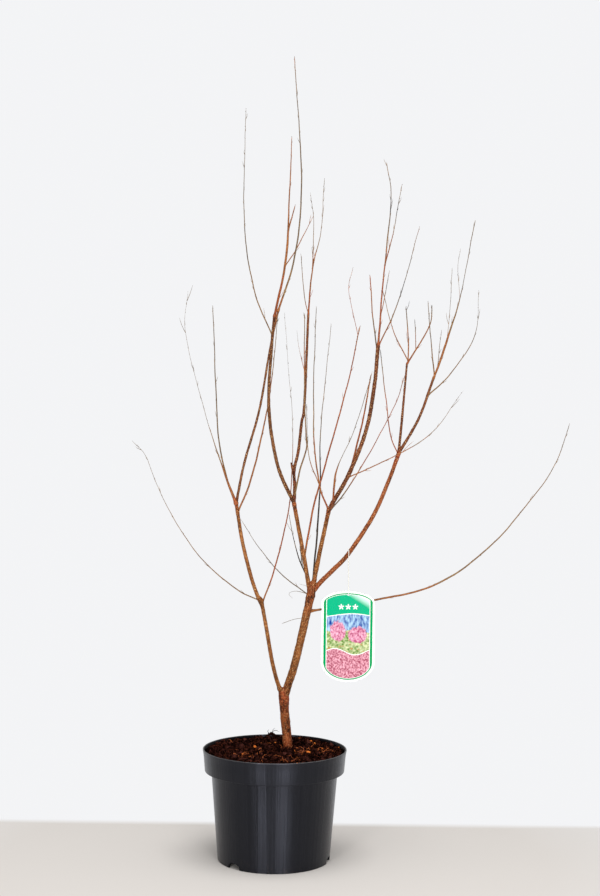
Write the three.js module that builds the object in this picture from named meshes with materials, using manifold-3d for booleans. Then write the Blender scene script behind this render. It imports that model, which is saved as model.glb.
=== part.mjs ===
// A bare young four-stamen tamarisk in a black nursery pot, with a plant label swinging from one bough.
// Millimetres, +Z up, +X right, +Y away from the front. The origin is the centre of the pot's flat underside.
import * as THREE from 'three';
import { mergeVertices } from 'three/addons/utils/BufferGeometryUtils.js';
import Module from 'manifold-3d';

const wasm = await Module();
wasm.setup();

// Driving dimensions

const gap = 0.3;            // between solids that touch on the real plant
const potSides = 36;

const pot = {
  height: 141,
  wall: 1.5,
  lipRadius: 92.4,          // the rim's outermost edge
  lipHeight: 4,
  collarTopRadius: 91.4,
  collarFootRadius: 89.4,
  collarHeight: 28,         // the deep band under the rim
  bodyTopRadius: 81,
  baseRadius: 71.9,
  edgeRound: 1,             // round edge between body and base
  seatRadius: 40,           // flat middle of the underside, which stands on the ground
  channelHeight: 4,         // ring between the flat middle and the foot, off the ground
  footWidth: 3,
  slope: 3,                 // run of the sloping step beside the channel
};

const drain = { count: 3, firstAngle: 228, width: 16, height: 7.5, depth: 17 };

const soil = {
  edgeHeight: 137,
  lump: 2,                  // how far the surface rolls up and down
  mound: 1,                 // rise between its edge and its middle
  ringsAcross: 4,
  clearing: 10,             // radius of the level patch at the trunk's foot
};

// The label hangs from the right bough. Its own frame has the swing axis at the origin.
const label = {
  swing: [92, 2, 392],      // where the loop crosses the bough
  width: 68.4,
  height: 116.8,
  topArc: 15.5,
  footArc: 25.5,
  thick: 0.8,
  drop: 48.2,               // from the swing axis to the label's top edge
  holeRadius: 1.6,
  holeInset: 4.6,
  shift: 0.4,               // the card hangs a little right of the loop's crossing
};
const loop = { thick: 1, innerRadius: 6.2, footRadius: 1.6, archSteps: 10, footSteps: 6, sides: 6 };

// The trunk and boughs. Each one leaves another at a height on its middle line, runs through its via
// points and ends at its tip. thick is the diameter where it starts and where it ends.
const limbs = [
  { name: 'trunk', foot: [17, 33, 134.5], via: [[15, 32, 152], [12, 27, 182]], tip: [10, 20, 211],
    thick: [12.6, 12.2], flare: 2.4, sides: 12 },
  { name: 'right_stem', on: 'trunk', height: 203, via: [[17, 17.5, 222], [27, 14, 258]], tip: [47, 10, 351],
    thick: [9.8, 10.4], sides: 10 },
  { name: 'left_stem', on: 'trunk', height: 203,
    via: [[3.3, 16, 220], [-5, 9, 252], [-17.6, -4.5, 322], [-24.4, -8.5, 338], [-33, -14, 364],
      [-44, -20, 408]],
    tip: [-52, -26, 456], thick: [5.2, 4.5] },
  { name: 'centre_left_bough', on: 'right_stem', height: 333,
    via: [[40.8, 12.5, 352], [36.5, 14, 376], [27, 19, 425]], tip: [21, 23, 455], thick: [5.6, 5] },
  { name: 'centre_bough', on: 'right_stem', height: 350, via: [[56, -6, 400]], tip: [66, -25, 451],
    thick: [6, 5] },
  { name: 'right_bough', on: 'right_stem', height: 340,
    via: [[58.5, 7, 356.5], [73, 5, 371], label.swing, [122.5, 0, 440], [142, 0, 485]], tip: [155, 0, 522],
    thick: [6.2, 4.8] },
  { name: 'left_leader', on: 'left_stem', height: 456,
    via: [[-42, -28, 508], [-24, -25, 575], [-12, -17, 650]], tip: [-2, -10, 701], thick: [3.7, 2.7] },
  { name: 'centre_left_leader', on: 'centre_left_bough', height: 455,
    via: [[-1, 22, 505], [-13, 17, 579], [-10, 14, 660]], tip: [-7, 15, 696], thick: [4.4, 3.4] },
  { name: 'centre_leader', on: 'centre_left_bough', height: 454,
    via: [[21.5, 27, 478], [20.7, 29, 498], [26, 33, 524], [29.8, 41, 561], [33.2, 48, 585]],
    tip: [37, 72, 704], thick: [4.2, 3.2] },
  { name: 'pruned_stub', on: 'centre_leader', height: 488, via: [], tip: [16.8, 31, 508], thick: [3.4, 2.8] },
  { name: 'centre_right_leader', on: 'centre_bough', height: 450,
    via: [[89.5, -38, 494], [110, -52, 549], [119, -63, 602]], tip: [123, -74, 654], thick: [5.4, 4.6] },
  { name: 'right_leader', on: 'right_bough', height: 521, via: [[180.5, 4, 567]], tip: [199, 9, 618],
    thick: [4, 3.2] },
  { name: 'right_middle_bough', on: 'right_bough', height: 521, via: [[159, 9, 564]], tip: [166, 26, 638],
    thick: [3.6, 2.6] },
];

// The masses of bare twigs. Each has one stem, written as a limb is, then the shoots that fork from it.
// bare is the length at its foot that carries no side growth.
const masses = [
  { name: 'low_left_twigs', on: 'left_stem', height: 330,
    via: [[-50, -16, 346], [-90, -33, 381], [-123, -48, 427], [-149, -59, 478], [-163, -66, 515]],
    tip: [-179, -70, 533], thick: [1.8, 0.9] },
  { name: 'inner_left_twigs', on: 'left_stem', height: 325,
    via: [[-15.5, -2, 335], [-3, 10, 371], [15, 50, 454], [18, 74, 555], [12, 84, 625]],
    tip: [5, 95, 710], thick: [2.2, 0.9] },
  { name: 'outer_left_twigs', on: 'left_stem', height: 455,
    via: [[-63, -31, 484], [-87, -50, 556], [-114.5, -71, 664]], tip: [-112, -77, 718], thick: [3, 0.9],
    shoots: [{ height: 486, via: [[-76, -24, 546]], tip: [-86, 0, 708] }] },
  { name: 'left_whip', on: 'left_stem', height: 444, via: [[-33, -8, 491], [-13, 30, 592]],
    tip: [-3, 40, 697], thick: [2, 0.9] },
  { name: 'tallest_twigs', on: 'left_leader', height: 701, via: [[19, -3, 775], [26, 6, 874]],
    tip: [15, 18, 1034], thick: [2.6, 1] },
  { name: 'centre_left_top_twigs', on: 'centre_left_leader', height: 696, via: [[7, 19, 771], [10, 21, 835]],
    tip: [13, 26, 932], thick: [3.3, 0.9],
    shoots: [
      { height: 763, via: [[22, 32, 790]], tip: [42, 50, 833] },
      { height: 808, via: [], tip: [18, 30, 844] },
    ] },
  { name: 'tall_left_twigs', on: 'centre_left_leader', height: 672, via: [[-33, 0, 729], [-46, -20, 814]],
    tip: [-45, -38, 953], thick: [2, 0.9] },
  { name: 'centre_top_twigs', on: 'centre_leader', height: 704, via: [[42, 86, 768], [53, 99, 820]],
    tip: [57, 113, 894], thick: [2.4, 0.9],
    shoots: [
      { height: 706, via: [[32, 70, 727]], tip: [26, 60, 784] },
      { height: 768, via: [[43, 87, 830]], tip: [38, 88, 870] },
      { height: 776, via: [], tip: [41, 95, 797] },
    ] },
  { name: 'centre_side_twigs', on: 'centre_leader', height: 462,
    via: [[27.5, 19, 495], [36.3, 18, 526], [35.5, 20, 545], [33, 32, 603]],
    tip: [32, 52, 705], thick: [2.4, 0.9] },
  { name: 'centre_whip', on: 'centre_leader', height: 622, via: [[25, 74, 661]], tip: [22, 85, 684],
    thick: [1.2, 0.9] },
  { name: 'inner_front_twigs', on: 'centre_bough', height: 448,
    via: [[54, -34, 478], [46, -50, 530], [44, -74, 609]], tip: [46, -98, 699], thick: [2.4, 0.9],
    shoots: [{ height: 478, via: [[39, -4, 520]], tip: [36, 10, 583] }] },
  { name: 'middle_twigs', on: 'centre_left_bough', height: 384,
    via: [[46, 35, 447], [58, 49, 492], [90.5, 80, 612]], tip: [107, 95, 692], thick: [2.8, 1.6],
    shoots: [{ height: 680, via: [[92, 104, 740]], tip: [97, 111, 773] }] },
  { name: 'dark_middle_twigs', on: 'right_stem', height: 346,
    via: [[52, 31, 422], [55.5, 60, 488], [55.5, 86, 552]], tip: [69, 134, 698], thick: [2.3, 0.9] },
  { name: 'front_top_twigs', on: 'centre_right_leader', height: 654, via: [[127, -94, 730], [134, -119, 826]],
    tip: [128, -127, 870], thick: [2.6, 0.9],
    shoots: [
      { height: 690, via: [[130, -74, 712]], tip: [137, -54, 749] },
      { height: 750, via: [[139, -90, 792]], tip: [150, -74, 853] },
    ] },
  { name: 'front_left_twigs', on: 'centre_right_leader', height: 644, via: [[117, -62, 688]],
    tip: [113, -48, 744], thick: [1.8, 1] },
  { name: 'front_right_twigs', on: 'centre_right_leader', height: 652, via: [[146, -102, 708]],
    tip: [167, -142, 791], thick: [2, 0.9] },
  { name: 'inner_right_twigs', on: 'centre_right_leader', height: 498, via: [[106, -24, 557]],
    tip: [118, -8, 622], thick: [2.6, 1.2] },
  { name: 'low_front_twigs', on: 'centre_right_leader', height: 458,
    via: [[71.8, -36, 482], [76.5, -40, 506], [96, -66, 553]], tip: [114, -96, 617], thick: [2.6, 0.9] },
  { name: 'crossing_twigs', on: 'centre_right_leader', height: 490, via: [[132, -49, 511], [188, -68, 545]],
    tip: [226, -96, 599], thick: [1.8, 0.9] },
  { name: 'back_right_twigs', on: 'centre_bough', height: 445,
    via: [[89, -6, 475], [118, 10, 522], [151, 32, 584]], tip: [165, 52, 623], thick: [2, 0.9] },
  { name: 'right_inner_twigs', on: 'right_bough', height: 520, via: [[145, 10, 544], [140, 32, 588]],
    tip: [133, 62, 658], thick: [1.7, 0.9] },
  { name: 'right_middle_twigs', on: 'right_middle_bough', height: 638,
    via: [[184.5, 13, 669], [194, 3, 690]], tip: [195, -5, 712], thick: [2.2, 0.9],
    shoots: [
      { height: 640, via: [[168, 34, 672]], tip: [165, 43, 714] },
      { height: 641, via: [[150, 49, 681]], tip: [136, 81, 740] },
      { height: 656, via: [], tip: [174, 4, 694] },
    ] },
  { name: 'right_top_twigs', on: 'right_leader', height: 618,
    via: [[210, 13, 648], [234, 27, 724], [249, 44, 797]], tip: [256, 52, 830], thick: [2.8, 0.9],
    shoots: [
      { height: 622, via: [[197, 32, 673]], tip: [195, 54, 723] },
      { height: 632, via: [], tip: [212, 42, 684] },
      { height: 668, via: [[223, 36, 722]], tip: [226, 54, 767] },
      { height: 724, via: [[229, 8, 762]], tip: [231, -4, 784] },
    ] },
  { name: 'low_right_top_twigs', on: 'right_leader', height: 596, via: [[219.5, -4, 624], [248, -27, 673]],
    tip: [249, -50, 726], thick: [1.9, 0.9] },
  { name: 'long_right_twigs', on: 'right_stem', height: 316,
    via: [[94, 26, 324], [203, 49, 346.5], [280, 61, 398], [341, 69, 468], [369, 72, 510]],
    tip: [388, 76, 563], thick: [2.8, 1], bare: 110 },
  { name: 'grey_twigs', on: 'right_stem', height: 335, via: [[7, 40, 360], [-23, 68, 391]],
    tip: [-51, 96, 430], thick: [1.5, 0.9] },
  { name: 'dark_twigs', on: 'centre_left_bough', height: 358, via: [[26, 32, 389]], tip: [14, 58, 440],
    thick: [1.7, 0.9], shoots: [{ height: 372, via: [[30, 40, 396]], tip: [26, 60, 424] }] },
];

// The rule for the short side growth of every twig
const spur = {
  bareFoot: 24,             // length at a twig's foot that carries none, where its row gives no other
  every: [38, 64],          // spacing along the twig, least and most
  length: [4, 8],
  longLength: [10, 18],
  longShare: 0.12,          // how many of them are long
  lean: [14, 30],           // degrees away from the twig
  upturn: 0.25,             // how much its tip turns back along the twig, as a share of its length
  thick: [1, 0.6],
  clear: 1.2,               // room that it keeps from every other limb and twig
  turn: 137.5,              // degrees round the twig from one to the next
};
const shootThick = 0.62;    // a shoot's start against its twig's
const footReach = 14;       // how far along a limb its neighbours are cut out of it
const flareRun = 7;         // how fast the trunk's flare dies away upwards
const stemForm = { sides: 4, step: 38 };
const shootForm = { sides: 3, step: 38 };
const spurForm = { sides: 3, step: 30 };
const footTrim = 5;         // extra trunk under the foot, which the level cut takes off

// Random numbers that are the same in every run
function seededRandom(seed) {
  let state = seed;
  return (low = 0, high = 1) => {
    state = (state * 16807) % 2147483647;
    return low + (high - low) * (state / 2147483647);
  };
}

// Closed meshes become solids and back

function toSolid(geometry) {
  const bare = geometry.clone();
  for (const name of Object.keys(bare.attributes)) if (name !== 'position') bare.deleteAttribute(name);
  const merged = mergeVertices(bare, 1e-4);
  return new wasm.Manifold(new wasm.Mesh({
    numProp: 3,
    vertProperties: new Float32Array(merged.attributes.position.array),
    triVerts: new Uint32Array(merged.index.array),
  }));
}

function toGeometry(solid) {
  const mesh = solid.getMesh();
  const geometry = new THREE.BufferGeometry();
  geometry.setAttribute('position', new THREE.BufferAttribute(new Float32Array(mesh.vertProperties), 3));
  geometry.setIndex(new THREE.BufferAttribute(new Uint32Array(mesh.triVerts), 1));
  return geometry;
}

// What is left of a cut solid once loose scraps are dropped
function largestPiece(solid) {
  return solid.decompose().reduce((best, piece) => (piece.volume() > best.volume() ? piece : best));
}

// A closed skin over a row of rings, which all have the same number of points, with a flat cap at each end
function ringsGeometry(rings) {
  const sides = rings[0].length;
  const first = new THREE.Vector3();
  const last = new THREE.Vector3();
  rings[0].forEach((point) => first.addScaledVector(point, 1 / sides));
  rings.at(-1).forEach((point) => last.addScaledVector(point, 1 / sides));
  const points = [...rings.flat(), first, last];
  const index = [];
  for (let i = 0; i < sides; i += 1) {
    const next = (i + 1) % sides;
    index.push(rings.length * sides, next, i);
    const top = (rings.length - 1) * sides;
    index.push(rings.length * sides + 1, top + i, top + next);
    for (let j = 0; j + 1 < rings.length; j += 1) {
      const low = j * sides;
      const high = low + sides;
      index.push(low + i, low + next, high + next, low + i, high + next, high + i);
    }
  }
  const geometry = new THREE.BufferGeometry().setFromPoints(points);
  geometry.setIndex(index);
  return geometry;
}

// A skin over rings that run in a circle, the last one joined to the first
function joinedRingsGeometry(rings) {
  const sides = rings[0].length;
  const index = [];
  rings.forEach((_, j) => {
    const low = j * sides;
    const high = ((j + 1) % rings.length) * sides;
    for (let i = 0; i < sides; i += 1) {
      const next = (i + 1) % sides;
      index.push(low + i, low + next, high + next, low + i, high + next, high + i);
    }
  });
  const geometry = new THREE.BufferGeometry().setFromPoints(rings.flat());
  geometry.setIndex(index);
  return geometry;
}

// Limbs as curves

const grown = new Map();    // every limb and mass that is already made, by name

function pathFrom(start, row) {
  const points = [start, ...row.via.map((p) => new THREE.Vector3(...p)), new THREE.Vector3(...row.tip)];
  if (points.length === 2) return new THREE.LineCurve3(...points);
  return new THREE.CatmullRomCurve3(points, false, 'catmullrom', 0.5);
}

function limbPath(row) {
  if (row.foot) return pathFrom(new THREE.Vector3(...row.foot), row);
  return pathFrom(pointAtHeight(grown.get(row.on).path, row.height), row);
}

function pointAtHeight(path, height) {
  const samples = path.getSpacedPoints(200);
  return samples.reduce((best, p) => (Math.abs(p.z - height) < Math.abs(best.z - height) ? p : best));
}

function thickAt(row, along, length) {
  const flare = row.flare ? row.flare * Math.exp((-along * length) / flareRun) : 0;
  return THREE.MathUtils.lerp(row.thick[0], row.thick[1], along) + flare;
}

// A tapering tube with flat ends along a limb's path. swell makes it fatter and longer on every side.
function tubeGeometry(row, path, { sides, step, swell = 0 }) {
  const length = path.getLength();
  const count = Math.max(3, Math.ceil(length / step));
  const run = path.getPointAt(1).sub(path.getPointAt(0)).normalize();
  const aside = Math.abs(run.y) < 0.8 ? new THREE.Vector3(0, 1, 0) : new THREE.Vector3(1, 0, 0);
  const rings = [];
  for (let j = 0; j <= count; j += 1) {
    const along = j / count;
    const centre = path.getPointAt(along);
    const tangent = path.getTangentAt(along);
    const right = new THREE.Vector3().crossVectors(tangent, aside).normalize();
    const up = new THREE.Vector3().crossVectors(tangent, right).normalize();
    if (j === 0) centre.addScaledVector(tangent, -swell - (row.foot ? footTrim : 0));
    if (swell && j === count) centre.addScaledVector(tangent, swell);
    const radius = thickAt(row, along, length) / 2 + swell / Math.cos(Math.PI / sides);
    const ring = [];
    for (let i = 0; i < sides; i += 1) {
      const angle = (2 * Math.PI * i) / sides;
      ring.push(centre.clone()
        .addScaledVector(right, radius * Math.cos(angle))
        .addScaledVector(up, radius * Math.sin(angle)));
    }
    rings.push(ring);
  }
  return ringsGeometry(rings);
}

// Every made limb or mass whose wood comes near the first stretch of this path, its own parent included
function neighboursAtFoot(path, radius) {
  const reach = Math.min(0.5, footReach / path.getLength());
  const foot = [0, 0.25, 0.5, 0.75, 1].map((t) => path.getPointAt(t * reach));
  return [...grown.values()].filter((other) => other.runs.some((run) => run.samples.some(
    (p) => foot.some((q) => p.distanceTo(q) < run.radius + radius + gap),
  )));
}

function remember(name, path, runs, solid, swollen) {
  grown.set(name, {
    path,
    runs: runs.map((run) => ({ samples: run.path.getSpacedPoints(120), radius: run.thick[0] / 2 })),
    solid,
    swollen,
  });
}

function growLimb(row) {
  const sides = row.sides ?? 8;
  const path = limbPath(row);
  const step = row.foot ? 10 : 20;
  let solid = toSolid(tubeGeometry(row, path, { sides, step }));
  if (row.foot) solid = solid.trimByPlane([0, 0, 1], row.foot[2]);
  for (const other of neighboursAtFoot(path, row.thick[0] / 2)) solid = solid.subtract(other.swollen);
  const swollen = toSolid(tubeGeometry(row, path, { sides, step, swell: gap }));
  remember(row.name, path, [{ path, thick: row.thick }], largestPiece(solid), swollen);
}

// A twig's side growth: short spurs that wind round it, leaning towards its tip
function sideGrowth(twig, random) {
  const length = twig.path.getLength();
  const spurs = [];
  let along = twig.bare ?? spur.bareFoot;
  let turn = random(0, 360);
  while (along < length - spur.length[0]) {
    const t = along / length;
    const tangent = twig.path.getTangentAt(t);
    const side = new THREE.Vector3(0, 1, 0).cross(tangent).normalize().applyAxisAngle(
      tangent, THREE.MathUtils.degToRad(turn));
    const lean = THREE.MathUtils.degToRad(random(...spur.lean));
    const reach = random() < spur.longShare ? random(...spur.longLength) : random(...spur.length);
    const away = tangent.clone().multiplyScalar(Math.cos(lean)).addScaledVector(side, Math.sin(lean));
    const start = twig.path.getPointAt(t);
    const tip = start.clone().addScaledVector(away, reach).addScaledVector(tangent, reach * spur.upturn);
    spurs.push({ path: new THREE.LineCurve3(start, tip), thick: spur.thick });
    along += random(...spur.every);
    turn += spur.turn;
  }
  return spurs;
}

function isClear(path, ownTwigs) {
  const others = [...grown.values()].flatMap((other) => other.runs);
  const mine = ownTwigs.map((twig) => (
    { samples: twig.path.getSpacedPoints(60), radius: twig.thick[0] / 2 }));
  return [0.4, 0.7, 1].map((t) => path.getPointAt(t)).every((p) => [...others, ...mine].every(
    (run) => run.samples.every((q) => p.distanceTo(q) > run.radius + spur.clear),
  ));
}

function growMass(row, seed) {
  const random = seededRandom(seed);
  const stem = { path: limbPath(row), thick: row.thick, bare: row.bare };
  const shoots = (row.shoots ?? []).map((shoot) => {
    const path = pathFrom(pointAtHeight(stem.path, shoot.height), shoot);
    return { path, thick: [row.thick[0] * shootThick, row.thick[1]] };
  });
  const twigs = [stem, ...shoots];
  let solid = toSolid(tubeGeometry(stem, stem.path, stemForm));
  let swollen = toSolid(tubeGeometry(stem, stem.path, { ...stemForm, swell: gap }));
  for (const shoot of shoots) {
    solid = solid.add(toSolid(tubeGeometry(shoot, shoot.path, shootForm)));
    swollen = swollen.add(toSolid(tubeGeometry(shoot, shoot.path, { ...shootForm, swell: gap })));
  }
  for (const other of neighboursAtFoot(stem.path, row.thick[0] / 2)) solid = solid.subtract(other.swollen);
  for (const twig of twigs) {
    const rest = twigs.filter((other) => other !== twig);
    for (const side of sideGrowth(twig, random)) {
      if (!isClear(side.path, rest)) continue;
      solid = solid.add(toSolid(tubeGeometry(side, side.path, spurForm)));
    }
  }
  remember(row.name, stem.path, twigs, largestPiece(solid), swollen);
}

// The pot's walls as radii at a height

function bodyRadius(z) {
  const share = z / (pot.height - pot.collarHeight);
  return THREE.MathUtils.lerp(pot.baseRadius, pot.bodyTopRadius, share);
}

function collarRadius(z) {
  const share = (z - (pot.height - pot.collarHeight)) / (pot.collarHeight - pot.lipHeight);
  return THREE.MathUtils.lerp(pot.collarFootRadius, pot.collarTopRadius, share);
}

function potSolid() {
  const { height, wall, edgeRound, seatRadius, channelHeight, footWidth, slope } = pot;
  const step = height - pot.collarHeight;
  const lipFoot = height - pot.lipHeight;
  const footInner = pot.baseRadius - footWidth;
  const floorTop = channelHeight + wall;
  const outline = [
    [0, 0], [seatRadius, 0], [seatRadius + slope, channelHeight], [footInner - 1, channelHeight],
    [footInner, 0], [pot.baseRadius - edgeRound, 0], [bodyRadius(edgeRound), edgeRound],
    [bodyRadius(step), step], [collarRadius(step) - 1, step], [collarRadius(step + 1), step + 1],
    [collarRadius(lipFoot), lipFoot], [pot.lipRadius - 0.6, lipFoot + 0.8], [pot.lipRadius, lipFoot + 1.8],
    [pot.lipRadius, height - 0.8], [pot.lipRadius - 1, height], [pot.lipRadius - 2.6, height],
    [collarRadius(lipFoot) - wall, lipFoot - 1],
    [collarRadius(step + wall) - wall, step + wall], [bodyRadius(step) - wall, step + wall],
    [bodyRadius(floorTop) - wall, floorTop], [seatRadius + slope - 1, floorTop],
    [seatRadius - 1, wall], [0, wall],
  ];
  let solid = toSolid(new THREE.LatheGeometry(outline.map((p) => new THREE.Vector2(...p)), potSides)
    .rotateX(Math.PI / 2));
  for (let k = 0; k < drain.count; k += 1) solid = solid.subtract(toSolid(drainCutter(k)));
  return solid;
}

// An arched notch in the foot and the wall above it, where water drains
function drainCutter(k) {
  const half = drain.width / 2;
  const arch = new THREE.Shape();
  arch.moveTo(-half, -1);
  arch.lineTo(half, -1);
  arch.lineTo(half, drain.height * 0.4);
  arch.absellipse(0, drain.height * 0.4, half, drain.height * 0.6, 0, Math.PI, false, 0);
  arch.lineTo(-half, -1);
  const angle = THREE.MathUtils.degToRad(drain.firstAngle + (k * 360) / drain.count);
  return new THREE.ExtrudeGeometry(arch, { depth: drain.depth, bevelEnabled: false, curveSegments: 6 })
    .rotateX(Math.PI / 2)
    .translate(0, pot.baseRadius + 1, 0)
    .rotateZ(angle - Math.PI / 2);
}

// Damp potting soil that fills the pot: smooth where it meets it, lumpy on top, level at the trunk's foot
function soilGeometry() {
  const step = pot.height - pot.collarHeight;
  const floorTop = pot.channelHeight + pot.wall;
  const random = seededRandom(4);
  const circle = (radius, z) => Array.from({ length: potSides }, (_, i) => {
    const angle = (2 * Math.PI * i) / potSides;
    return new THREE.Vector3(radius * Math.cos(angle), radius * Math.sin(angle), z);
  });
  const inner = pot.wall + gap;
  const edge = circle(collarRadius(soil.edgeHeight) - inner, soil.edgeHeight);
  const foot = new THREE.Vector3(...limbs[0].foot);
  const level = foot.z - gap;
  const patch = circle(soil.clearing, level);
  patch.forEach((p) => p.add(new THREE.Vector3(foot.x, foot.y, 0)));
  const top = [];
  for (let j = 1; j < soil.ringsAcross; j += 1) {
    const share = j / soil.ringsAcross;
    top.push(edge.map((p, i) => {
      const point = p.clone().lerp(patch[i], share);
      point.z += random(-soil.lump, soil.lump) + soil.mound * Math.sin(Math.PI * share);
      return point;
    }));
  }
  return ringsGeometry([
    circle(pot.seatRadius - 1, pot.wall + gap),
    circle(pot.seatRadius + pot.slope - 1, floorTop + gap),
    circle(bodyRadius(floorTop) - inner, floorTop + gap),
    circle(bodyRadius(step) - inner, step + inner),
    circle(collarRadius(step + inner) - inner, step + inner),
    edge,
    ...top,
    patch,
  ]);
}

// The label, a rounded plate with a small hole, hanging under its swing axis
function labelGeometry() {
  const half = label.width / 2;
  const top = -label.drop;
  const shoulder = top - label.topArc;
  const hip = top - label.height + label.footArc;
  const outline = new THREE.Shape();
  outline.moveTo(half, hip);
  outline.lineTo(half, shoulder);
  outline.absellipse(0, shoulder, half, label.topArc, 0, Math.PI, false, 0);
  outline.lineTo(-half, hip);
  outline.absellipse(0, hip, half, label.footArc, Math.PI, 2 * Math.PI, false, 0);
  const hole = new THREE.Path();
  hole.absarc(0, top - label.holeInset, label.holeRadius, 0, 2 * Math.PI, true);
  outline.holes.push(hole);
  return new THREE.ExtrudeGeometry(outline, { depth: label.thick, bevelEnabled: false, curveSegments: 10 })
    .translate(0, 0, -label.thick / 2)
    .rotateX(Math.PI / 2)
    .translate(label.shift, 0, 0);
}

// The loop of thread: over the bough in a half circle, down both sides and through the label's hole
function loopGeometry() {
  const radius = loop.innerRadius + loop.thick / 2;
  const bottom = loop.footRadius - label.drop - label.holeInset + label.holeRadius - gap - loop.thick / 2;
  const halfCircle = (x, z, r, from, steps) => Array.from({ length: steps + 1 }, (_, i) => {
    const angle = from + (Math.PI * i) / steps;
    return new THREE.Vector3(x, r * Math.cos(angle), z + r * Math.sin(angle));
  });
  const line = [
    ...halfCircle(0, 0, radius, 0, loop.archSteps),
    ...halfCircle(label.shift, bottom, loop.footRadius, Math.PI, loop.footSteps),
  ];
  const across = new THREE.Vector3(1, 0, 0);
  const rings = line.map((centre, i) => {
    const tangent = line[(i + 1) % line.length].clone().sub(line.at(i - 1));
    const outward = new THREE.Vector3().crossVectors(tangent, across).normalize();
    return Array.from({ length: loop.sides }, (_, k) => {
      const angle = (2 * Math.PI * k) / loop.sides;
      return centre.clone()
        .addScaledVector(across, (loop.thick / 2) * Math.cos(angle))
        .addScaledVector(outward, (loop.thick / 2) * Math.sin(angle));
    });
  });
  return joinedRingsGeometry(rings);
}

// The scene graph

const finish = {
  bark: { color: 0x8a4f2c, roughness: 0.75 },
  twig: { color: 0x9c6a3c, roughness: 0.8 },
  blackPlastic: { color: 0x232427, roughness: 0.42 },
  peat: { color: 0x2f1a12, roughness: 0.95 },
  card: { color: 0xf2f3ef, roughness: 0.4 },
  thread: { color: 0xe9e7df, roughness: 0.7 },
};

function part(name, geometry, look) {
  const shape = geometry.index ? geometry.toNonIndexed() : geometry;
  shape.computeVertexNormals();
  const mesh = new THREE.Mesh(shape, new THREE.MeshStandardMaterial({ metalness: 0, ...finish[look] }));
  mesh.name = name;
  return mesh;
}

const tamarisk = new THREE.Group();
tamarisk.add(part('pot', toGeometry(potSolid()), 'blackPlastic'));
tamarisk.add(part('soil', soilGeometry(), 'peat'));

limbs.forEach(growLimb);
masses.forEach((row, i) => growMass(row, 101 + 37 * i));
for (const { name } of limbs) tamarisk.add(part(name, toGeometry(grown.get(name).solid), 'bark'));
for (const { name } of masses) tamarisk.add(part(name, toGeometry(grown.get(name).solid), 'twig'));

const hangingLabel = new THREE.Group();
hangingLabel.position.set(...label.swing);
hangingLabel.add(part('label_card', labelGeometry(), 'card'));
hangingLabel.add(part('label_loop', loopGeometry(), 'thread'));
tamarisk.add(hangingLabel);

export default tamarisk;
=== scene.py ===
# A bare young tamarisk in a black nursery pot, with a plant label on a loop of thread.
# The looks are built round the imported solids, in their frame. Growth is worked out in millimetres, as the
# solids are, and every mesh is made in metres.
import math

import bmesh
import bpy
import numpy as np
from mathutils import Matrix, Vector


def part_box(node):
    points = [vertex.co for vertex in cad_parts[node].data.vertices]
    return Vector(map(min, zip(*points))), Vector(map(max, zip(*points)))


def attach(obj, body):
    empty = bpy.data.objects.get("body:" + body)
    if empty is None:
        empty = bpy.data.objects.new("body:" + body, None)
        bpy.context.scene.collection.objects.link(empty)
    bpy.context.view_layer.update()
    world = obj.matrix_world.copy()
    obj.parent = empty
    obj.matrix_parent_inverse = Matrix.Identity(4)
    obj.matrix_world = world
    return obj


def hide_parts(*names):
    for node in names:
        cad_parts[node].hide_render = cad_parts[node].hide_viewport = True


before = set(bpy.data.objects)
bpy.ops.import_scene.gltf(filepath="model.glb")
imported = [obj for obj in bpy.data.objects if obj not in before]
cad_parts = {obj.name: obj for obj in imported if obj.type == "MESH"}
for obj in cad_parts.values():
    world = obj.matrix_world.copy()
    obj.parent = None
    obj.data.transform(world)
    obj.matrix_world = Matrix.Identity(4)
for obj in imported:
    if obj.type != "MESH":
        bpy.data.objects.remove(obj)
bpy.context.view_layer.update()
mm = 0.001
print("frame loaded")


# Nodes, sockets and materials

def socketOf(sockets, key):
    if isinstance(key, int):
        return sockets[key]
    found = [s for s in sockets if s.identifier == key]
    return (found or [s for s in sockets if s.name == key and s.enabled])[0]


def connect(tree, target, value):
    if isinstance(value, bpy.types.NodeSocket):
        tree.links.new(value, target)
    else:
        target.default_value = value


def add(tree, kind, inputs=None, **settings):
    made = tree.nodes.new(kind)
    for name, value in settings.items():
        setattr(made, name, value)
    for key, value in (inputs or {}).items():
        connect(tree, socketOf(made.inputs, key), value)
    return made


def put(tree, kind, inputs=None, **settings):
    # adds a node and gives its first output
    return add(tree, kind, inputs, **settings).outputs[0]


def maths(tree, operation, *values):
    return put(tree, "ShaderNodeMath", dict(enumerate(values)), operation=operation)


def vectorMaths(tree, operation, *values):
    made = add(tree, "ShaderNodeVectorMath", dict(enumerate(values)), operation=operation)
    return made.outputs[1 if operation == "LENGTH" else 0]


def times(tree, vector, factor):
    return put(tree, "ShaderNodeVectorMath", {0: vector, "Scale": factor}, operation="SCALE")


def remap(tree, value, low, high, toLow=0.0, toHigh=1.0):
    return put(tree, "ShaderNodeMapRange", {"Value": value, "From Min": low, "From Max": high,
                                            "To Min": toLow, "To Max": toHigh})


def mixColour(tree, share, low, high):
    made = add(tree, "ShaderNodeMix", {"Factor_Float": share, "A_Color": low, "B_Color": high},
               data_type="RGBA")
    return socketOf(made.outputs, "Result_Color")


def randomValue(tree, low, high, seed, kind="FLOAT"):
    suffix = {"FLOAT": "_001", "INT": "_002", "FLOAT_VECTOR": ""}[kind]
    made = add(tree, "FunctionNodeRandomValue", {"Min" + suffix: low, "Max" + suffix: high, "Seed": seed},
               data_type=kind)
    return socketOf(made.outputs, "Value" + suffix)


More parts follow.
